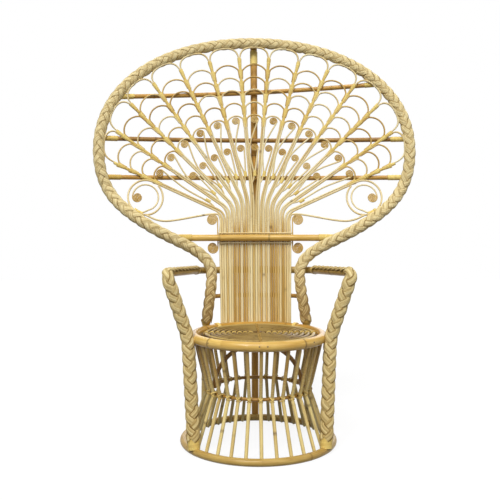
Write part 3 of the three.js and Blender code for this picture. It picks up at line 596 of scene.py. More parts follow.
def line(points, diameter, tone, knots=(), closed=False):
    """A cane or pole for the cane loom: it swells at its leaf rings and rounds off at its ends."""
    points = np.asarray(points, float)
    size, tones = (np.broadcast_to(np.asarray(value, float), len(points)) for value in (diameter, tone))
    size = size / 2
    runs = runs_along(points)
    mark = np.zeros(len(points))
    for knot in knots:
        width = max(KNOT_WIDTH, KNOT_SHARE * size.max())
        mark = np.maximum(mark, hump(runs, knot, width))
        size = size * (1 + KNOT_SWELL * hump(runs, knot, KNOT_SPREAD * width))
    if not closed:
        bevel = size.mean() * BEVEL
        head = points[0] + unit(points[1] - points[0]) * bevel
        tail = points[-1] + unit(points[-2] - points[-1]) * bevel
        points = np.insert(points, [1, len(points) - 1], [head, tail], axis=0)
        size, mark, tones = (np.pad(values, 1, "edge") for values in (size, mark, tones))
        size[[0, -1]] *= BEVEL_END
    return {"points": points, "closed": closed, "thick": size * MM, "knot": mark, "tone": tones}


def knot_places(points, spacing):
    """Random places for the leaf rings of a pole, about a spacing apart."""
    end = runs_along(points)[-1] - KNOT_FREE
    places = []
    place = spacing * chance.uniform(*KNOT_FIRST)
    while place < end:
        places.append(place)
        place += spacing * chance.uniform(*KNOT_NEXT)
    return places


def pole_line(points, diameter, spacing=260, tone=None, closed=False):
    points = even(points, STATION)
    tone = chance.uniform(*POLE_TONES) if tone is None else tone
    return line(points[:-1] if closed else points, diameter, tone, knot_places(points, spacing), closed)


def rail(points, face, **marks):
    """A line for the plait and wrap looms, with the side that it shows."""
    points = np.asarray(points, float)
    faces = np.broadcast_to(np.asarray(face, float), points.shape)
    values = {name: np.broadcast_to(np.asarray(value, float), len(points)) for name, value in marks.items()}
    return {"points": points, "closed": False, "face": faces, **values}


def wrap(points, face, wide, deep=None, tone=None):
    """Peel wound round a line, with half widths across and towards the front."""
    deep = wide if deep is None else deep
    tone = chance.uniform(0, 1) if tone is None else tone
    return rail(points, face, wide=np.asarray(wide) * MM, deep=np.asarray(deep) * MM, tone=tone)


def flat_wrap(flat, wide, deep, tone):
    """Peel wound round a line on the back."""
    return wrap(on_back(flat), back_face(flat), wide, deep, tone)


def place_in_scene(name, data):
    thing = bpy.data.objects.new(name, data)
    bpy.context.scene.collection.objects.link(thing)
    return thing


def sketch(name, lines):
    """An object of bare lines in the shared frame, with the marks of its points."""
    points = np.concatenate([item["points"] for item in lines]) * MM + AXIS
    edges = []
    start = 0
    for item in lines:
        count = len(item["points"])
        edges += [(start + i, start + i + 1) for i in range(count - 1)]
        if item["closed"]:
            edges.append((start + count - 1, start))
        start += count
    mesh = bpy.data.meshes.new(name)
    mesh.from_pydata(points.tolist(), edges, [])
    for mark in lines[0]:
        if mark not in ("points", "closed"):
            values = np.concatenate([item[mark] for item in lines])
            kind, field = ("FLOAT_VECTOR", "vector") if values.ndim == 2 else ("FLOAT", "value")
            mesh.attributes.new(mark, kind, "POINT").data.foreach_set(field, values.astype(np.float32).ravel())
    return place_in_scene(name, mesh)


def grow(name, lines, loom, slot, *nodes, **inputs):
    """Grows a piece on a sketch, as a plain mesh that rides on the chair and stands for its solids."""
    bare = sketch(name + "_sketch", lines)
    modifier = bare.modifiers.new("grow", "NODES")
    modifier.node_group = loom.nodes
    for key, value in inputs.items():
        modifier[loom.keys[key]] = value
    state = bpy.context.evaluated_depsgraph_get()
    mesh = bpy.data.meshes.new_from_object(bare.evaluated_get(state), preserve_all_data_layers=True, depsgraph=state)
    mesh.name = name
    bare.modifiers.remove(modifier)
    bpy.data.objects.remove(bare)
    piece = place_in_scene(name, mesh)
    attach(piece, "root")
    if nodes:
        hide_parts(*nodes)
    return piece


# Base: ring, waist, rim and spindles
RIM_SPLICE, RIM_TONES = -34, (0.4, 0.65)  # bearing at which the rim's two lengths meet, and their tones
RIM_REAR, RIM_BROWN = (62, 84), 0.6  # bearings between which the rim browns towards the back


def grow_hoops():
    base = pole_line(circle(BASE_RADIUS, BASE_MIDDLE), BASE_POLE, tone=0.85, spacing=300, closed=True)
    ring = grow("base_hoop", [base], canes, "pole", "base_ring", Sides=16, Material=pole_skin)
    for vertex in ring.data.vertices:
        vertex.co.z = max(vertex.co.z, 0)
    waist = pole_line(circle(WAIST_RADIUS, WAIST_HEIGHT), WAIST_POLE, tone=0.7, spacing=230, closed=True)
    grow("waist_hoop", [waist], canes, "pole", "waist_ring", Sides=12, Material=bar_skin)
    path = circle(SEAT_RADIUS, RIM_MIDDLE)[:-1]
    bearing = np.degrees(np.arctan2(path[:, 0], -path[:, 1]))
    tone = np.where(bearing < RIM_SPLICE, *RIM_TONES) + np.interp(np.abs(bearing), RIM_REAR, [0, RIM_BROWN])
    rim = line(path, SEAT_POLE, tone, knot_places(path, 330), closed=True)
    grow("seat_hoop", [rim], canes, "pole", "seat_rim", Sides=20, Material=rim_skin)


def touch(start, centre, radius, side):
    """Where a line from a point touches a circle in a plane."""
    start, centre = np.asarray(start, float), np.asarray(centre, float)
    way = centre - start
    length = np.linalg.norm(way)
    turn = math.acos(radius / length) * side
    arm = -way * radius / length
    return centre + np.array([arm[0] * math.cos(turn) - arm[1] * math.sin(turn),
                              arm[0] * math.sin(turn) + arm[1] * math.cos(turn)])


WAIST_PASS = np.array([WAIST_RADIUS + (WAIST_POLE + SPINDLE_POLE) / 2 + FIT, WAIST_HEIGHT])
SPINDLES = [place for place in range(SPINDLE_PLACES) if 2 * place != SPINDLE_PLACES]  # none behind the post
SPINDLE_ANGLE = 360 / SPINDLE_PLACES
SPINDLE_TONES, SPINDLE_SHADE, SPINDLE_SHADE_RUN = (0, 0.4), 0.55, 100  # spindles darken above the waist, painted shade under the seat


def spindle_profile():
    """A spindle from its foot past the waist ring to the rim, as distances from the axis and heights."""
    base_touch = touch(WAIST_PASS, (BASE_RADIUS, BASE_MIDDLE), (BASE_POLE + SPINDLE_POLE) / 2 + FIT, 1)
    rim_way = np.array([SEAT_RADIUS, RIM_MIDDLE]) - WAIST_PASS
    top = WAIST_PASS + rim_way * (1 - (SEAT_POLE / 2 + FIT) / np.linalg.norm(rim_way))
    foot_share = (WAIST_HEIGHT - SPINDLE_FOOT) / (WAIST_HEIGHT - base_touch[1])
    foot = WAIST_PASS + (base_touch - WAIST_PASS) * foot_share
    down, up = (WAIST_PASS + unit(end - WAIST_PASS) * SPINDLE_BEND for end in (foot, top))
    elbow = 2 * WAIST_PASS - (down + up) / 2
    return even(np.concatenate([[foot], bezier(down, elbow, up, count=10), [top]]), step=8)


def grow_spindles():
    profile = spindle_profile()
    # painted shade under the seat, growing above the waist
    seat_shade = np.clip((profile[:, 1] - WAIST_HEIGHT) / SPINDLE_SHADE_RUN, 0, 1) * SPINDLE_SHADE
    lines = []
    for place in SPINDLES:
        path = around(SPINDLE_ANGLE * place, profile[:, 0], profile[:, 1])
        tone = chance.uniform(*SPINDLE_TONES) + seat_shade
        lines.append(line(path, SPINDLE_POLE, tone, knot_places(path, 240)))
    nodes = [f"spindle_{place + 1:02d}" for place in SPINDLES]
    grow("spindles", lines, canes, "cane", *nodes, Sides=10, Material=cage_skin)


LASH_PEEL, LASH_PROUD, LASH_ASIDE, LASH_RISE = 3.8, 2.2, 6.4, 6.8
LASH_CORNERS, LASH_LEAN, WAIST_LASH_TONES = 0.55, 0.8, (0, 0.5)


def full(value, power):
    """A wave with squarer shoulders."""
    return np.sign(value) * np.abs(value) ** power


def grow_waist_lashings():
    """Peel crossed over each spindle where it passes the waist ring."""
    lines = []
    middle = WAIST_RADIUS + (WAIST_POLE + SPINDLE_POLE) / 4
    turn = np.linspace(0, math.tau, 18, endpoint=False)
    out = middle + (WAIST_POLE + SPINDLE_POLE + LASH_PROUD) / 2 * full(np.cos(turn), LASH_CORNERS)
    swing = full(np.sin(turn), LASH_LEAN)
    for place in SPINDLES:
        for slope in (-1, 1):
            angle = SPINDLE_ANGLE * place + np.degrees(slope * LASH_ASIDE * swing / middle)
            path = around(angle, out, WAIST_HEIGHT + LASH_RISE * swing)
            lines.append(line(path, LASH_PEEL, chance.uniform(*WAIST_LASH_TONES), closed=True))
    grow("waist_lashings", lines, canes, "cane", Sides=6, Material=lash_peel)


# Seat
COIL_STATIONS = 90  # points in a turn
COIL_TONES = [0, 0.9, 1.1], [0.15, 0.15, 0.75, 0.85]  # turns of the coil, and its tones there and at its eye
BEARER_SHORT = 4
SEAT_LASH, LASH_OVER, LASH_BOW, LASH_SLANT = 2.6, 1.1, 1.75, 1.6
LASH_LAPS, LASH_FREE, LASH_ROW = 12, 6, (-3.3, 0.0, 3.3)
LASH_TONES = {0: (0.7, 1.3), 90: (0, 0.6), 180: (0.7, 1.3), 270: (0, 0.6)}  # for each row's bearing
RIM_TIES, RIM_TIE_RADIUS, RIM_TIE_PEEL, RIM_TIE_TONES = (137.8, 138.7, 139.6, 140.5), 18.2, 4.4, (-0.4, 0.0)


def grow_coil():
    turns = (COIL_START - COIL_EYE) / COIL_PITCH
    turn = np.linspace(0, turns, round(turns * COIL_STATIONS))
    path = around(360 * turn, COIL_START - COIL_PITCH * turn, COIL_LEVEL)
    tone = np.interp(turn, [*COIL_TONES[0], turns], COIL_TONES[1])
    coil = line(path, COIL_CANE, tone, knot_places(path, 280))
    grow("seat_winding", [coil], canes, "coil", "seat_coil", Sides=12, Material=coil_skin)


def grow_bearers():
    """Two crossed bars under the coil and the arch that carries them."""
    end = RIM_INNER + BAR_LAP - BEARER_SHORT
    side_level = BAR_LEVEL - SEAT_BAR + ARCH_SEAT
    foot = WAIST_RADIUS - WAIST_POLE / 2 - FIT - ARCH_POLE / 2
    crown = side_level - SEAT_BAR / 2 - ARCH_POLE / 2 + ARCH_SEAT
    bow = np.linspace(0, math.pi, 60)
    arch = np.stack([-foot * np.cos(bow), 0 * bow, WAIST_HEIGHT + (crown - WAIST_HEIGHT) * np.sin(bow)], axis=1)
    lines = [pole_line([(0, -end, BAR_LEVEL), (0, end, BAR_LEVEL)], SEAT_BAR, tone=0.8),
             pole_line([(-end, 0, side_level), (end, 0, side_level)], SEAT_BAR, tone=0.7),
             pole_line(arch, ARCH_POLE, tone=0.95)]
    grow("seat_bearers", lines, canes, "bar", "seat_cradle", Sides=14, Material=bar_skin)


def grow_seat_lashings():
    """Rows of peel that tie the coil to its bars, and ties on the rim beside the panel."""
    lashes = []
    share = np.linspace(-1, 1, 11)
    rise = COIL_CANE / 2 + LASH_OVER
    for bearing, tones in LASH_TONES.items():
        for lap in range(LASH_LAPS):
            radius = COIL_START - COIL_PITCH * (lap + bearing / 360)
            if radius < COIL_EYE + LASH_FREE:
                continue
            for aside in LASH_ROW:
                angle = bearing + np.degrees((aside + share * LASH_SLANT) / radius)
                path = around(angle, radius + rise * np.sin(share * LASH_BOW),
                              COIL_LEVEL + rise * np.cos(share * LASH_BOW))
                lashes.append(line(path, SEAT_LASH, chance.uniform(*tones)))
    turn = np.linspace(0, math.tau, 24, endpoint=False)
    for bearing in RIM_TIES:
        for side in (-1, 1):
            path = around(side * bearing, SEAT_RADIUS + RIM_TIE_RADIUS * np.cos(turn),
                          RIM_MIDDLE + RIM_TIE_RADIUS * np.sin(turn))
            lashes.append(line(path, RIM_TIE_PEEL, chance.uniform(*RIM_TIE_TONES), closed=True))
    grow("seat_lashings", lashes, canes, "cane", Sides=6, Material=lash_peel)


# Frame of the back
def fan_ray(angle):
    return np.array([math.sin(math.radians(angle)), math.cos(math.radians(angle))])


def fan_side(angle):
    return np.array([math.cos(math.radians(angle)), -math.sin(math.radians(angle))])


def hoop_outline():
    """Right half of the hoop from the crown to the neck, on the back surface."""
    way = -fan_ray(FLANK_ANGLE)
    top = (0, HOOP_TOP)
    widest = (HOOP_HALF_WIDTH, HOOP_WIDEST)
    crown = bezier(top, (HOOP_HALF_WIDTH * HOOP_FULLNESS, HOOP_TOP),
                   (HOOP_HALF_WIDTH, HOOP_WIDEST + (HOOP_TOP - HOOP_WIDEST) * HOOP_FULLNESS), widest, count=120)
    hip = bezier(widest, (HOOP_HALF_WIDTH, HOOP_WIDEST + (FLANK[1] - HOOP_WIDEST) * HIP_FULLNESS),
                 FLANK - way * FLANK_REACH, FLANK, count=80)
    waist = bezier(FLANK, FLANK + way * FLANK_REACH, (NECK[0], (FLANK[1] + NECK[1]) / 2), NECK, count=80)
    return np.concatenate([crown, hip[1:], waist[1:]])


def upright():
    """The frame from its neck past the rim down to the base ring."""
    top = back(*NECK, BAR_LIFT)
    way = back(NECK[0], NECK[1] - 1, BAR_LIFT) - top
    at_rim = around(UPRIGHT_ANGLE, RIM_OUTER + FRAME_POLE / 2 + FIT, RIM_MIDDLE)
    ring = around(UPRIGHT_ANGLE, BASE_RADIUS, BASE_MIDDLE)
    down = unit(ring - at_rim)
    foot = ring - down * (BASE_POLE / 2 + FIT)
    reach = (NECK[1] - RIM_MIDDLE) / 3
    bend = bezier(top, top + way * reach, at_rim - down * reach, at_rim, count=40)
    return np.concatenate([bend[1:], [foot]])


OUTLINE = hoop_outline()
UPRIGHT = upright()
FRAME_HALF = np.concatenate([on_back(OUTLINE, BAR_LIFT), UPRIGHT])
FACE_HALF = np.concatenate([back_face(OUTLINE), np.repeat(back_face([NECK]), len(UPRIGHT), axis=0)])


def crossing(points, height):
    """Point at which a falling line passes a height, which is the last value of its points."""
    i = int(np.argmax(points[:, -1] <= height))
    before, after = points[i - 1], points[i]
    return before + (after - before) * (before[-1] - height) / (before[-1] - after[-1])


def frame_at(height):
    """Point of the frame's middle line at a height."""
    return crossing(FRAME_HALF, height)


def hoop_across(height):
    """Distance across the back at which the hoop passes a height."""
    return crossing(OUTLINE, height)[0] if height >= NECK[1] else NECK[0]


PLAIT = dict(Strips=7, Period=0.111, Sway=0.02, Lift=0.0015, Crown=0.0013, Core=0.0215, Pitch=0.0036,
             Thickness=0.0017, Step=0.005, Material=plait_peel)
ARM_PLAIT = {**PLAIT, "Strips": 6, "Core": 0.0225, "Sway": 0.0215, "Pitch": 0.0044, "Lift": 0.0019, "Crown": 0.0015,
             "Material": leg_peel}
PLAIT_TURN = [760, 930], [3, BRAID_TURN / 2]  # heights, and degrees that the plait turns out from the front
PLAIT_SHADE = [SEAT_HEIGHT + 60, SEAT_HEIGHT + 220], [0.8, 0]  # heights, and how far the plait darkens: painted shade low on the frame behind the seat
FRAME_TONES = [SEAT_HEIGHT, SEAT_HEIGHT + 100], [0.6, -0.2]  # heights, and the pole's tones: paler above the seat, painted light on the shaded inner side beside the plait


def grow_frame():
    path = even(both_halves(FRAME_HALF), STATION)
    # paler above the seat: painted light on the pole's shaded side
    pole = line(path, FRAME_POLE, np.interp(path[:, 2], *FRAME_TONES), knot_places(path, 380))
    grow("back_hoop", [pole], canes, "pole", "frame_pole", Sides=14, Material=cage_skin)
    covered = FRAME_HALF[:, 2] > SEAT_HEIGHT + PLAIT_LIFT
    path = both_halves(FRAME_HALF[covered])
    face = both_halves(FACE_HALF[covered])
    way = units(np.gradient(path, axis=0))
    front = units(face - way * (face * way).sum(axis=1)[:, None])
    turn = -np.radians(np.interp(path[:, 2], *PLAIT_TURN))[:, None]
    face = front * np.cos(turn) + np.cross(way, front) * np.sin(turn)
    # painted shade, darker towards the seat
    shade = np.interp(path[:, 2], *PLAIT_SHADE)
    grow("back_plait", [rail(path, face, girth=1.0, shade=shade)], plaits, "braid", "frame_braid", **PLAIT)


# Arms
def bent(corners, bend):
    """A pole with straight runs between its corners and a bend at each."""
    corners = [np.asarray(corner, float) for corner in corners]
    rows = [corners[:1]]
    for before, here, after in zip(corners, corners[1:], corners[2:]):
        lead, trail = (here + unit(there - here) * bend for there in (before, after))
        rows.append(bezier(lead, here, trail, count=12))
    return np.concatenate([*rows, corners[-1:]])


HOOP_REAR = back(0, ARM_REAR_HEIGHT, -(CANE / 2 + ARM_REAR_GAP + ARM_POLE / 2))
LEG_SEAT = around(LEG_SEAT_ANGLE, RIM_OUTER + ARM_POLE / 2 + FIT, RIM_MIDDLE)
LEG_RING = around(LEG_FOOT_ANGLE, BASE_RADIUS, BASE_MIDDLE)
LEG_WAY = unit(LEG_SEAT - LEG_RING)
LEG_FOOT = LEG_RING + LEG_WAY * (BASE_POLE / 2 + FIT)
FRONT_CORNER = np.array([ARM_HALF_WIDTH, ARM_FRONT, ARM_HEIGHT], float)
ARM_UP = np.array([0, -1, 1]) / math.sqrt(2)


def rear_corner():
    """Corner of the arm hoop beside the frame, from which it runs on behind the panel."""
    frame_side = frame_at(ARM_REAR_HEIGHT)
    reach = (FRAME_POLE + ARM_POLE) / 2
    rear_touch = touch(HOOP_REAR[:2], frame_side[:2], reach + FIT, -1)
    across = frame_side[0] + reach + BRAID_THICKNESS + ARM_BEND / 4 + 2 * FIT
    depth = HOOP_REAR[1] + (rear_touch[1] - HOOP_REAR[1]) * across / rear_touch[0]
    return np.array([across, depth, ARM_REAR_HEIGHT])


REAR_CORNER = rear_corner()
ARM_WAY = REAR_CORNER - FRONT_CORNER
ARM_STEP = 6
GIRTH_RUN = (-50, 16)  # run before and past the front corner in which the plait widens
SHADE_RUN, ARM_SHADES = (-90, -30, 60), [0.2, -0.08, -0.08, 0.16]  # from the rear, past the corner, to the foot: painted light at the front corner and painted shade towards the rear and the foot


def grow_arms():
    half = bent([LEG_FOOT, LEG_SEAT, FRONT_CORNER, REAR_CORNER, HOOP_REAR], ARM_BEND)[::-1]
    bow = pole_line(both_halves(half), ARM_POLE, spacing=360, tone=0.8)
    grow("arm_bow", [bow], canes, "pole", "arm_hoop", Sides=14, Material=pole_skin)
    stop = FRONT_CORNER + ARM_WAY * (1 - BRAID_STOP / np.linalg.norm(ARM_WAY))
    cover = even(bent([stop, FRONT_CORNER, LEG_SEAT, LEG_FOOT + LEG_WAY * BRAID_LIFT], ARM_BEND), ARM_STEP)
    corner = np.linalg.norm(ARM_WAY) - BRAID_STOP
    run = np.arange(len(cover)) * ARM_STEP
    girth = np.interp(run, [corner + place for place in GIRTH_RUN], [ARM_GIRTH, 1])
    # painted light and shade along the plait
    shade = np.interp(run, [*(corner + place for place in SHADE_RUN), run[-1]], ARM_SHADES)
    for name, path in (("right", cover), ("left", mirrored(cover))):
        plait = rail(path, ARM_UP, girth=girth, shade=shade)
        grow(f"arm_plait_{name}", [plait], plaits, "braid", f"arm_braid_{name}", **ARM_PLAIT)


# Bars and post
def fan_bar(height, rise):
    """A bar across the fan, behind its canes, from one side of the hoop to the other."""
    share = np.linspace(-1, 1, 81)
    across = np.where(share < 0, hoop_across(height - rise), hoop_across(height + rise)) * share
    path = back(across, height + share * rise, BAR_LIFT)
    return path[np.abs(across) < np.abs(across).max() - BAR_INSET]


def panel_bar(height, diameter, side, short):
    """A bar across the panel, on its front or its rear side, that settles towards the frame."""
    lift = side * (CANE / 2 + BAR_GAP + diameter / 2)
    edge = PANEL_HALF + PITCH
    panel = back(np.linspace(0, edge, 30), height, lift)
    near = back(edge + (hoop_across(height) - edge) * BAR_SETTLE, height, BAR_LIFT)
    end = frame_at(height)
    end = end + unit(near - end) * max(short, BAR_INSET)
    return both_halves(np.concatenate([panel, spline([panel[-1], near, end])[1:]]))


def post_path():
    outside = BASE_RADIUS + (BASE_POLE + POST_POLE) / 2 + FIT

    def at(height, front):
        return back(0, height, front - FIT - POST_POLE / 2)
    return np.array([(0, outside, POST_FOOT), (0, outside, BASE_POLE),
                     at(ARM_REAR_HEIGHT, -(CANE / 2 + ARM_REAR_GAP + ARM_POLE)),
                     at(MIDDLE_BAR_HEIGHT, BAR_LIFT - FAN_BAR / 2), at(TOP_BAR_HEIGHT, BAR_LIFT - FAN_BAR / 2),
                     at(HOOP_TOP + POST_OVERRUN, BAR_LIFT - FRAME_POLE / 2)])


TOP_PATH = fan_bar(TOP_BAR_HEIGHT, TOP_BAR_RISE)
UPPER_PATH = fan_bar(UPPER_BAR_HEIGHT, 0)
MIDDLE_PATH = fan_bar(MIDDLE_BAR_HEIGHT, 0)
BAND_PATH = panel_bar(BAND_HEIGHT, BAND_POLE, 1, BAND_SHORT)
LOWER_PATH = panel_bar(LOWER_BAR_HEIGHT, LOWER_BAR, -1, 0)
POST_PATH = post_path()
BARS = (  # piece, node, path, thickness, spacing of the leaf rings, tone, sides, finish
    ("fan_top_bar", "top_bar", TOP_PATH, FAN_BAR, 230, 0.1, 12, bar_skin),
    ("fan_upper_bar", "upper_bar", UPPER_PATH, FAN_BAR, 230, 0.85, 12, bar_skin),
    ("fan_middle_bar", "middle_bar", MIDDLE_PATH, FAN_BAR, 230, 0.2, 12, bar_skin),
    ("panel_band", "band_bar", BAND_PATH, BAND_POLE, 250, 0.6, 14, rim_skin),
    ("panel_rail", "lower_bar", LOWER_PATH, LOWER_BAR, 200, None, 12, bar_skin),
    ("back_post", "center_post", POST_PATH, POST_POLE, 290, 0.15, 16, bar_skin))
TRIM_CANE, TRIM_PAST, TRIM_TONES = 6, 4, (0.2, 0.7)
TRIMS = ((-6.6, 5, 0.7), (4.4, 3.2, 0))  # rise past the band's edge, lift from the panel, and how much paler: painted light on the lower trim, in the band's shadow


def grow_bars():
    for piece, node, path, diameter, spacing, tone, sides, skin in BARS:
        bar = pole_line(path, diameter, spacing=spacing, tone=tone)
        grow(piece, [bar], canes, "bar", node, Sides=sides, Material=skin)
    trims = []
    across = np.linspace(-PANEL_HALF - TRIM_PAST, PANEL_HALF + TRIM_PAST, 50)
    for rise, lift, paler in TRIMS:
        height = BAND_HEIGHT + math.copysign(BAND_POLE / 2, rise) + rise
        path = back(across, height, CANE / 2 + lift)
        # paler is painted light that lifts the band's shadow from the lower trim
        trims.append(line(path, TRIM_CANE, chance.uniform(*TRIM_TONES) - paler))
    grow("band_trims", trims, canes, "bar", Sides=8, Material=cane_skin)


# Fan of hairpin canes
def fan_point(angle, offset, reach):
    """Points of the fan, polar about its focus: offset to the right of a ray, reach along it."""
    offset, reach = np.broadcast_arrays(np.asarray(offset, float), np.asarray(reach, float))
    return np.array([0, FOCUS_HEIGHT]) + offset[..., None] * fan_side(angle) + reach[..., None] * fan_ray(angle)


def hoop_hit(angle):
    """Reach of the hoop from the focus along a ray, and its direction there."""
    bearing = np.arctan2(OUTLINE[:, 0], OUTLINE[:, 1] - FOCUS_HEIGHT)
    wanted = math.radians(abs(angle))
    i = max(1, int(np.argmax(bearing >= wanted)))
    before, after = OUTLINE[i - 1], OUTLINE[i]
    point = before + (after - before) * (wanted - bearing[i - 1]) / (bearing[i] - bearing[i - 1])
    return np.linalg.norm(point - (0, FOCUS_HEIGHT)), unit(after - before) * ((1, -1) if angle < 0 else (1, 1))


def leg(number, reach):
    """Leg of a cane up the panel, round its bend and along its spine, with the cane's thickness."""
    angle = ((number - 1) // 2 - FEATHERS / 2) * SPINE_PITCH
    side = -1 if number % 2 == 1 else 1
    offset = PAIR_HALF * side
    turn = math.radians(angle)
    across = (number - (PANEL_CANES - 1) / 2) * PITCH
    turning = fan_point(angle, offset, (across - offset * math.cos(turn)) / math.sin(turn))
    start = turning - (0, CANE_BEND)
    end = turning + fan_ray(angle) * CANE_BEND
    if reach < SLIM_TO:
        ray = [fan_point(angle, offset, reach)]
    else:
        ray = [fan_point(angle, offset, SLIM_FROM)]
        ray += [fan_point(angle, side * SPINE_HALF, place) for place in (SLIM_TO, reach)]
    panel = [(across, RIM_MIDDLE - CANE_TAIL)]
    path = even(np.concatenate([panel, bezier(start, turning, end, count=16), ray]), step=9)
    share = np.clip((runs_along(path) - start[1] + path[0, 1]) / SHAVED, 0, 1)
    size = CANE + (FAN_CANE + FULLNESS - CANE) * share ** SHAVING
    from_focus = np.linalg.norm(path - (0, FOCUS_HEIGHT), axis=1)
    slimmed = np.clip((from_focus - SLIM_FROM) / (SLIM_TO - SLIM_FROM), 0, 1) * (path[:, 1] > FOCUS_HEIGHT)
    return path, size + (SPINE_CANE - size) * slimmed * (reach > SLIM_TO)


def spine_top(place):
    return hoop_hit(place * SPINE_PITCH)[0] - SPINE_DROP


def hairpin(gap):
    """Up one leg, over the crown against the frame and down the other, and the reach of the crown."""
    angle = gap * SPINE_PITCH
    first = 2 * (gap + LAST_GAP) + 2
    left, left_size = leg(first, spine_top(gap - 0.5))
    right, right_size = leg(first + 1, spine_top(gap + 0.5))
    reach, way = hoop_hit(angle)
    cross = fan_ray(angle)[0] * way[1] - fan_ray(angle)[1] * way[0]
    inset = (FRAME_POLE / 2 + FIT + FAN_CANE / 2) / abs(cross)
    top = fan_point(angle, 0, reach - inset)
    rise, fall = (np.linalg.norm(top - side[-1]) * CROWN_FULLNESS for side in (left, right))
    up = bezier(left[-1], left[-1] + fan_ray(angle - SPINE_PITCH / 2) * rise, top - way * rise, top, count=14)
    down = bezier(top, top + way * fall, right[-1] + fan_ray(angle + SPINE_PITCH / 2) * fall, right[-1], count=14)
    path = np.concatenate([left, up[1:], down[1:], right[::-1][1:]])
    crown = SPINE_CANE + (CROWN_CANE - SPINE_CANE) * np.sin(np.linspace(0, math.pi, len(up) + len(down) - 2)) ** 0.5
    return path, np.concatenate([left_size, crown, right_size[::-1][1:]]), reach - inset


JOINT = SPINE_HALF + SPINE_CANE / 2 + ARC_CANE / 2  # middle of an arc's tail from the middle of a spine
ARC_CLEAR = 2
ARC_TAIL = ((7, 0.4), (18, 1.3), (34, 2.4))  # run down a spine past the joint, and how far it nears the spine
ARC_FULLER, STEM_FULLER, SCROLL_CLEAR, SCROLL_STATIONS = 1.4, 1.5, 0.2, 26
ARC_TONES, STEM_TONES, CURL_TONES = (0.3, 1.35), (0.1, 0.5), (0.8, 1.2)
PANEL_TONES, FAN_TONES = [-0.2, 0.05, 0.4, 0.75, 1.05, 1.35], (0.0, 0.6)
PANEL_TOP, PANEL_FADE = FOCUS_HEIGHT + 40, 60  # where a panel tone has gone over into a fan tone, and the run
FAN_SPACING = 900


def inner_arc(angle, apex):
    """Arch across a gap whose ends turn down along the spines, and the reach at which they meet them."""
    inside = -FAN_PITCH / 2
    sine, cosine = math.sin(HALF_GAP), math.cos(HALF_GAP)
    run = (apex + inside * sine - ARC_RISE * inside * cosine) / (cosine + ARC_RISE * sine)
    width = run * sine + inside * cosine
    radius = width * (1 + ARC_RISE ** 2) / (2 * ARC_RISE)
    turn = np.linspace(0, math.asin(width / radius), 60)
    bow = np.stack([radius * np.sin(turn), apex - radius * (1 - np.cos(turn))], axis=1)
    clear = bow[:, 1] * sine - bow[:, 0] * cosine
    bow = bow[clear > JOINT + ARC_CLEAR]
    met = bow[-1, 0] * sine + bow[-1, 1] * cosine
    tail = [((met - down) * sine - (JOINT - near) * cosine, (met - down) * cosine + (JOINT - near) * sine)
            for down, near in ARC_TAIL]
    half = spline(np.concatenate([bow[::10], bow[-1:], tail]), count=5)
    flat = np.concatenate([half[:0:-1] * (-1, 1), half])
    return fan_point(angle, flat[:, 0], flat[:, 1]), met


def scroll(radius):
    """A scroll that winds inward from the right of its rim, about its middle, and closes up to its eye."""
    start = radius - SCROLL_CANE / 2
    pitch = SCROLL_CANE + WOUND_GAP
    turns = (start - WOUND_EYE) / pitch + WOUND_PAST
    turn = np.linspace(0, turns, round(turns * SCROLL_STATIONS))
    reach = start - pitch * turn
    return np.stack([reach * np.cos(math.tau * turn), reach * np.sin(math.tau * turn)], axis=1)


def scroll_cane(angle, stem, place):
    """A pale stem that ends in a browner scroll."""
    reach, radius = place
    curl = scroll(radius) + (0, reach)
    flat = np.concatenate([spline([*stem, curl[0]], count=12)[:-1], curl])
    is_stem = np.arange(len(flat)) < len(flat) - len(curl)
    tone = np.where(is_stem, chance.uniform(*STEM_TONES), chance.uniform(*CURL_TONES))
    size = np.where(is_stem, SCROLL_CANE + STEM_FULLER, SCROLL_CANE)
    return line(on_back(fan_point(angle, flat[:, 0], flat[:, 1])), size, tone)


def gap_scrolls(gap):
    """Scroll canes of a gap; the outer one's stem passes beside the inner scroll, which the last gaps lack."""
    angle = gap * SPINE_PITCH
    apart = (SCROLL_CANE + SCROLL_GAP) / 2
    inner_reach, inner_radius = INNER_SCROLL
    has_inner = abs(gap) < LAST_GAP
    spine_side = SCROLL_TAIL * math.sin(HALF_GAP) - FAN_PITCH / 2 * math.cos(HALF_GAP)
    passing = inner_radius + SCROLL_CANE / 2 + SCROLL_CLEAR if has_inner else apart
    stem = [(-spine_side, SCROLL_TAIL), (-apart, SCROLL_TIE), (-passing, inner_reach)]
    lines = [scroll_cane(angle, stem, OUTER_SCROLL)]
    if has_inner:
        stem = [(-apart, SCROLL_TIE), (apart, SCROLL_TIE + SCROLL_TIE_LENGTH)]
        lines.append(scroll_cane(angle, stem, INNER_SCROLL))
    return lines


def arc_apexes(gap, reach):
    count = ARCS_IN_END_GAP if abs(gap) > LAST_GAP - END_GAPS else ARCS_IN_GAP
    return np.linspace(ARC_LOW, reach - ARC_DROP, count)


def feather_name(gap):
    return "middle" if gap == 0 else f"{'left' if gap < 0 else 'right'}_{abs(gap)}"


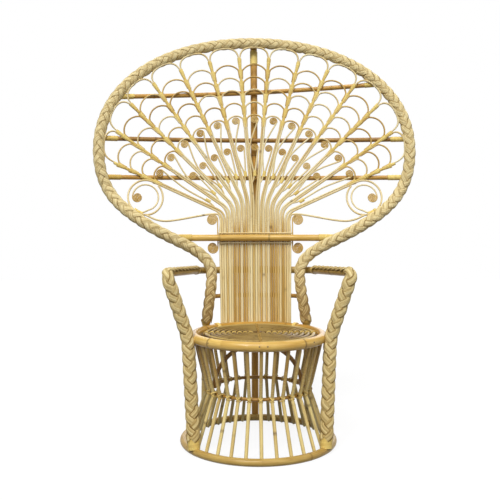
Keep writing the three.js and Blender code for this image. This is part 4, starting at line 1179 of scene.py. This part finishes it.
def grow_feathers():
    """Hairpins with their arcs and scrolls; returns where arcs meet each spine."""
    joints = {}
    for gap in GAPS:
        path, size, reach = hairpin(gap)
        points = on_back(path)
        panel_tones = chance.choice(PANEL_TONES, 2, replace=False)
        fan_tones = chance.uniform(*FAN_TONES, 2)
        panel = np.clip((PANEL_TOP - path[:, 1]) / PANEL_FADE, 0, 1)
        left, right = (fan + (below - fan) * panel for fan, below in zip(fan_tones, panel_tones))
        tone = np.where(np.arange(len(points)) < len(points) / 2, left, right)
        lines = [line(points, size, tone, knot_places(points, FAN_SPACING))]
        for apex in arc_apexes(gap, reach):
            arch, met = inner_arc(gap * SPINE_PITCH, apex)
            lines.append(line(on_back(arch), ARC_CANE + ARC_FULLER, chance.uniform(*ARC_TONES)))
            for place in (gap - 0.5, gap + 0.5):
                joints.setdefault(place, []).append(met)
        lines += gap_scrolls(gap)
        name = feather_name(gap)
        grow(f"fan_feather_{name}", lines, canes, "cane", f"feather_{name}", Sides=8, Material=cane_skin)
    return joints


# Wings
RING_END = 540  # where the inner ring turns into its scroll, once round and to the left
RING_FULLER, RING_FADE = 1.3, 6  # the inner ring's cane before its scroll, and the points in which it thins
ROPE_TONE, SIDE_TONE, RING_TONE, CURL_TONE, STALK_TONE = 0.2, 0.25, 0.2, 1.1, 0.8
WING_TONES, STALK_FADE = (-0.15, 0.25), (-4, 8)
TIE_TURN, TIE_INSET = (-8, 22), 3  # the wrap that ties both rings, about RING_TIE, and its depth in the outer ring


def ring_room(end, way):
    """Radius of the largest ring that fits between the end of a spine and the frame."""
    seat = FAN_CANE / 2 + FIT + FRAME_POLE / 2
    radius, most = 0.0, float(HOOP_HALF_WIDTH)
    while most - radius > FIT / 10:
        trial = (radius + most) / 2
        middle = end + way * trial
        clear = np.hypot(OUTLINE[:, 0] + middle[0], OUTLINE[:, 1] - middle[1]).min()
        radius, most = (trial, most) if clear > trial + seat else (radius, trial)
    return radius


def arc(centre, radius, start, end, step=6):
    count = max(4, round(abs(end - start) / step))
    turn = np.radians(np.linspace(start, end, count + 1))
    return np.stack([centre[0] + radius * np.cos(turn), centre[1] + radius * np.sin(turn)], axis=1)


def inner_ring(middle, outer):
    """The inner ring's cane: it leaves the outer ring at their tie, goes round inside it and ends in a scroll."""
    inner = outer - RING_STEP
    share = np.linspace(0, 1, 10)
    reach = outer + (inner - outer) * eased(share)
    turn = np.radians(RING_TIE + share * RING_SETTLE)
    lead = middle + reach[:, None] * np.stack([np.cos(turn), np.sin(turn)], axis=1)
    loop = arc(middle, inner, RING_TIE + RING_SETTLE, RING_END)
    curl = middle - (inner - RING_SCROLL + SCROLL_CANE / 2, 0) - scroll(RING_SCROLL)
    path = np.concatenate([lead, loop[1:], curl[1:]])
    winding = len(path) - len(curl)
    fade = np.arange(len(path)), [winding - RING_FADE, winding]
    return path, np.interp(*fade, [SCROLL_CANE + RING_FULLER, SCROLL_CANE]), np.interp(*fade, [RING_TONE, CURL_TONE])


def side_canes(middle, ring):
    """The panel's outermost cane, which bends out under the rings, and the cane with a scroll at both its ends."""
    across = -(PANEL_CANES - 1) / 2 * PITCH
    foot = middle[1] - ring
    reach = WING_SCROLL - SCROLL_CANE / 2
    crest = np.array([across - PITCH - reach, SIDE_CREST])
    sag = crest[0] + (middle[0] - crest[0]) * SAG_PLACE
    side = spline([(across, SIDE_CREST - 2 * CANE_BEND), (across, SIDE_CREST - CANE_BEND / 2), crest,
                   (sag, min(foot, SIDE_CREST - SIDE_SAG)), (middle[0], foot - FAN_CANE / 4)])
    cane = even(np.concatenate([[(across, RIM_MIDDLE - CANE_TAIL)], side]), step=8)
    share = np.clip((cane[:, 1] - SIDE_CREST + 2 * CANE_BEND) / CANE_BEND, 0, 1)
    share[np.argmax(cane[:, 1]):] = 1
    size = CANE + (FAN_CANE + FULLNESS - CANE) * share

    upper_height = SIDE_CREST - reach + (SCROLL_CANE + WING_SCROLL_GAP) / 4 - (FAN_CANE + SCROLL_CANE) / 4
    lower_height = BAND_HEIGHT - BAND_POLE / 2 - SIDE_SCROLL_GAP - WING_SCROLL
    winding = scroll(WING_SCROLL)
    upper = winding + (crest[0], upper_height)
    lower = winding * (1, -1) + (crest[0], lower_height)
    stalk = np.concatenate([lower[::-1], even([lower[0], upper[0]], step=10)[1:-1], upper])
    tone = np.interp(np.arange(len(stalk)), [len(lower) + i for i in STALK_FADE], [CURL_TONE, STALK_TONE])
    return (cane, size, SIDE_TONE), (stalk, SCROLL_CANE, tone)


def wing_lines():
    """Canes of the left wing as flat paths with their thickness and tone, and the path of its rings' tie."""
    way = -fan_side(-FEATHERS / 2 * SPINE_PITCH)
    stalk, stalk_size = leg(1, WING_REACH)
    radius = ring_room(stalk[-1], way)
    middle = stalk[-1] + way * radius
    start = math.degrees(math.atan2(-way[1], -way[0]))
    rope = np.concatenate([stalk, arc(middle, radius, start, start + RING_TURN)[1:]])
    rope_size = np.concatenate([stalk_size, np.full(len(rope) - len(stalk), FAN_CANE + FULLNESS)])
    tie = arc(middle, radius - TIE_INSET, *(RING_TIE + turn for turn in TIE_TURN), step=2)
    return [(rope, rope_size, ROPE_TONE), inner_ring(middle, radius), *side_canes(middle, radius)], tie


def grow_wings():
    """Both wings; returns where their rings are tied."""
    paths, tie = wing_lines()
    for name, turn in (("left", 1), ("right", -1)):
        lines = []
        for path, size, tone in paths:
            points = on_back(path * (turn, 1))
            tone = tone + chance.uniform(*WING_TONES)
            lines.append(line(points, size, tone, knot_places(points, FAN_SPACING)))
        grow(f"fan_wing_{name}", lines, canes, "cane", f"wing_{name}", Sides=8, Material=cane_skin)
    return tie


# Wraps and nails
TIE_SHARED = 26  # joints closer than this share a tie
SPINE_START, SPINE_PAST, TOP_PAST = 34, 2, 8  # start below the lowest joint, end past a joint and past the top
FLARE, TOP_FLARE, END_FLARE = 3.6, 2.2, 0.2  # at joints, at the tops, and at the outermost spines' tops
FLARE_RUN, FLARE_EARLY, DEEP_FLARE = 28, 3, 0.5
SPINE_WIDE, SPINE_DEEP = SPINE_HALF + SPINE_CANE / 2 + 0.4, SPINE_CANE / 2 + 0.8
SPINE_TONE, PALE_EARLY, SPINE_TONES = 0.4, 1.6, (-0.25, 0.4)  # joints are paler than the run between them
WRAP_STEP, WRAP_PROUD, THICK_PROUD = 4, 0.9, 1
BAR_WRAP, BAND_WRAP, LOWER_WRAP = 54, 60, 12
POST_WRAP, POST_TONE = (-80, -22), -0.1  # heights from the hoop's top
PLAIT_COLLAR, PLAIT_RADII = (-8, 6), (14.4, 18.6)  # run along the frame about its plait's end, and radii
FOOT_WRAP, FOOT_RADII = (-6, 33), (20, 22)  # run up a leg from its foot, and radii
ARM_COLLAR = ((-6, 2.6), (10, 0.4))  # runs along the arm from its plait's end, and rises
COLLAR_WIDE, COLLAR_DEEP = (14.4, 0.8), (14.6, 2.4)  # half widths of the arm collar, and how far they narrow
STEM_TIE, STEM_WIDE, STEM_DEEP, STEM_TIE_TONES = (-8, 14), SCROLL_CANE + 1.4, SCROLL_CANE / 2 + 1.3, (0, 0.3)
RING_WIDE, RING_DEEP, RING_TIE_TONE = FAN_CANE + 1, FAN_CANE / 2 + 1.6, 0.1
NAIL_BEARINGS, NAIL_LIFT = np.array([-45.8, -1.6, 4.7, 47.5, 92, -96]), math.radians(12)


def joined(meets):
    """Reaches at which a spine is tied: places closer than a tie's length share one tie."""
    ties = []
    for met in sorted(meets):
        if ties and met - ties[-1][-1] < TIE_SHARED:
            ties[-1].append(met)
        else:
            ties.append([met])
    return [sum(tie) / len(tie) for tie in ties]


def grow_spine_wraps(joints):
    """Peel wound up each spine, fuller where arcs join it."""
    lines = []
    for place, meets in joints.items():
        ties = [*joined(meets), spine_top(place)]
        top_flare = TOP_FLARE if abs(place) < FEATHERS / 2 else END_FLARE
        start = ties[0] - SPINE_START
        for met in ties:
            flare, past = (top_flare, TOP_PAST) if met == ties[-1] else (FLARE, SPINE_PAST)
            reach = np.arange(start, met + past, 2.0)
            start = met + SPINE_PAST
            extra = np.clip(1 - (met - FLARE_EARLY - reach) / FLARE_RUN, 0, 1)
            if len(reach) > 3:
                pale = SPINE_TONE * np.clip(extra * PALE_EARLY, 0, 1)
                tone = SPINE_TONE - pale + chance.uniform(*SPINE_TONES)
                flat = fan_point(place * SPINE_PITCH, 0, reach)
                lines.append(flat_wrap(flat, SPINE_WIDE + extra * flare, SPINE_DEEP + extra * DEEP_FLARE, tone))
    grow("spine_wraps", lines, wraps, "cane", Pitch=0.0036, Thickness=0.001, Step=0.0004, Material=wrap_peel)


def end_wraps(path, length, radius):
    """Peel wound round both ends of a pole."""
    path = even(path, WRAP_STEP)
    count = max(2, round(length / WRAP_STEP))
    return [wrap(path[:count], FRONT, radius), wrap(path[-count:], FRONT, radius)]


def grow_pole_wraps():
    """Peel where poles are tied: bar ends, post top, plait ends, leg feet and arm collars."""
    lines = []
    for path in (TOP_PATH, UPPER_PATH, MIDDLE_PATH):
        lines += end_wraps(path, BAR_WRAP, FAN_BAR / 2 + WRAP_PROUD)
    lines += end_wraps(BAND_PATH, BAND_WRAP, BAND_POLE / 2 + THICK_PROUD)
    lines += end_wraps(LOWER_PATH, LOWER_WRAP, LOWER_BAR / 2 + WRAP_PROUD)
    post = even(POST_PATH, WRAP_STEP)
    from_top = post[:, 2] - HOOP_TOP
    tied = (from_top > POST_WRAP[0]) & (from_top < POST_WRAP[1])
    lines.append(wrap(post[tied], FRONT, POST_POLE / 2 + THICK_PROUD, tone=POST_TONE))

    low = frame_at(SEAT_HEIGHT + PLAIT_LIFT)
    rise = unit(low - FRAME_HALF[-1])
    plait_end = even([low + rise * run for run in PLAIT_COLLAR], step=3)
    foot = even([LEG_FOOT + LEG_WAY * run for run in FOOT_WRAP], WRAP_STEP)
    way = unit(ARM_WAY)
    stop = REAR_CORNER - way * BRAID_STOP
    collar = even([stop + way * run + ARM_UP * up for run, up in ARM_COLLAR], WRAP_STEP)
    wide, deep = (least + more * np.linspace(1, 0, len(collar)) for least, more in (COLLAR_WIDE, COLLAR_DEEP))
    for turn in ((1, 1, 1), (-1, 1, 1)):
        lines += [wrap(plait_end * turn, FRONT, np.linspace(*PLAIT_RADII, len(plait_end)), tone=1.0),
                  wrap(foot * turn, FRONT, np.linspace(*FOOT_RADII, len(foot)), tone=0.3),
                  wrap(collar * turn, ARM_UP, wide, deep, tone=0.6)]
    grow("pole_wraps", lines, wraps, "cane", Pitch=0.0046, Thickness=0.0011, Step=0.00026, Material=wrap_peel)


def grow_stem_wraps(ring_tie):
    """Peel that ties scroll stems together, and the two rings of each wing."""
    ties = []
    reach = np.arange(*(SCROLL_TIE + run for run in STEM_TIE), 2.0)
    for gap in GAPS:
        flat = fan_point(gap * SPINE_PITCH, 0, reach)
        ties.append(flat_wrap(flat, STEM_WIDE, STEM_DEEP, chance.uniform(*STEM_TIE_TONES)))
    for turn in (1, -1):
        ties.append(flat_wrap(ring_tie * (turn, 1), RING_WIDE, RING_DEEP, RING_TIE_TONE))
    grow("stem_wraps", ties, wraps, "cane", Pitch=0.0032, Thickness=0.001, Step=0.0003, Material=wrap_peel)


def grow_nails():
    """Nail heads round the front and sides of the seat rim."""
    out, up = math.cos(NAIL_LIFT), math.sin(NAIL_LIFT)
    points = around(NAIL_BEARINGS, SEAT_RADIUS + SEAT_POLE / 2 * out, RIM_MIDDLE + SEAT_POLE / 2 * up)
    face = around(NAIL_BEARINGS, out, up)
    grow("rim_nails", [rail(points, face)], nails, "pole", Radius=0.0028, Material=nail_steel)


grow_hoops()
grow_spindles()
grow_waist_lashings()
grow_coil()
grow_bearers()
grow_seat_lashings()
grow_frame()
grow_arms()
grow_bars()
grow_spine_wraps(grow_feathers())
ring_tie_path = grow_wings()
grow_pole_wraps()
grow_stem_wraps(ring_tie_path)
grow_nails()

# Stage, light and camera, in metres and degrees
FLOOR_HALF, FLOOR_GREY, FLOOR_GLOW = 6, 0.15, 0.86
WORLD_LIGHT = 0.22
LAMPS = {"key": (-22, 52, 2.15, 35), "spark": (-28, 46, 0.45, 7),  # across, down, strength and spread
         "fill": (30, 42, 0.9, 50), "back": (165, 35, 1.0, 60)}
LAMP_HEIGHT = 3
SENSOR, PHOTO_WIDTH, FOCAL_LENGTH = 36, 500, 735  # sensor in millimetres, the others in the photograph's pixels
CAMERA_ASIDE, CAMERA_AWAY, CAMERA_HEIGHT = -0.109, 2.4976, 0.782
CAMERA_DOWN, CAMERA_TURN = 2.8, -1.84


def lay_floor():
    """A pale floor that glows as the backdrop does and keeps the chair's shadow."""
    half = FLOOR_HALF
    mesh = bpy.data.meshes.new("studio_floor")
    mesh.from_pydata([(-half, -half, 0), (half, -half, 0), (half, half, 0), (-half, half, 0)], [], [(0, 1, 2, 3)])
    floor = place_in_scene("studio_floor", mesh)
    finish = Finish("floor_white")
    finish.set(Base_Color=(FLOOR_GREY, FLOOR_GREY, FLOOR_GREY, 1), Roughness=1.0, Specular_IOR_Level=0.0)
    glow = finish.node("ShaderNodeEmission", {}, {"Color": (1, 1, 1, 1), "Strength": FLOOR_GLOW})
    dark = finish.node("ShaderNodeEmission", {}, {"Color": (0, 0, 0, 1), "Strength": 0.0})
    lit = finish.node("ShaderNodeMixShader", {}, {0: finish.seen(), 1: dark, 2: glow})
    both = finish.node("ShaderNodeAddShader", {}, {0: Wire(finish, finish.shader.outputs[0]), 1: lit})
    finish.join(both, finish.nodes.nodes["Material Output"].inputs["Surface"])
    mesh.materials.append(finish.material)


def light_world():
    """A white world where it is seen, which lights the chair only a little."""
    world = bpy.data.worlds.new("studio")
    bpy.context.scene.world = world
    world.use_nodes = True
    tree = Tree(world.node_tree)
    background = world.node_tree.nodes["Background"]
    background.inputs["Color"].default_value = (1, 1, 1, 1)
    tree.join(tree.seen() * (1 - WORLD_LIGHT) + WORLD_LIGHT, background.inputs["Strength"])


def lamp(name, across, down, strength, spread):
    """A soft light from far off, turned across from the front and down from the level."""
    data = bpy.data.lights.new(name, "SUN")
    data.energy = strength
    data.angle = math.radians(spread)
    thing = place_in_scene(name, data)
    thing.location = (0, 0, LAMP_HEIGHT)
    thing.rotation_euler = (math.radians(90 - down), 0, math.radians(across))


def aim_camera():
    data = bpy.data.cameras.new("camera")
    data.sensor_width = SENSOR
    data.lens = SENSOR * FOCAL_LENGTH / PHOTO_WIDTH
    thing = place_in_scene("camera", data)
    thing.location = (CAMERA_ASIDE, AXIS[1] - CAMERA_AWAY, CAMERA_HEIGHT)
    thing.rotation_euler = (math.radians(90 - CAMERA_DOWN), 0, math.radians(CAMERA_TURN))
    bpy.context.scene.camera = thing


lay_floor()
light_world()
for lamp_name, setting in LAMPS.items():
    lamp(lamp_name, *setting)
aim_camera()
bpy.context.scene.view_settings.view_transform = "Standard"
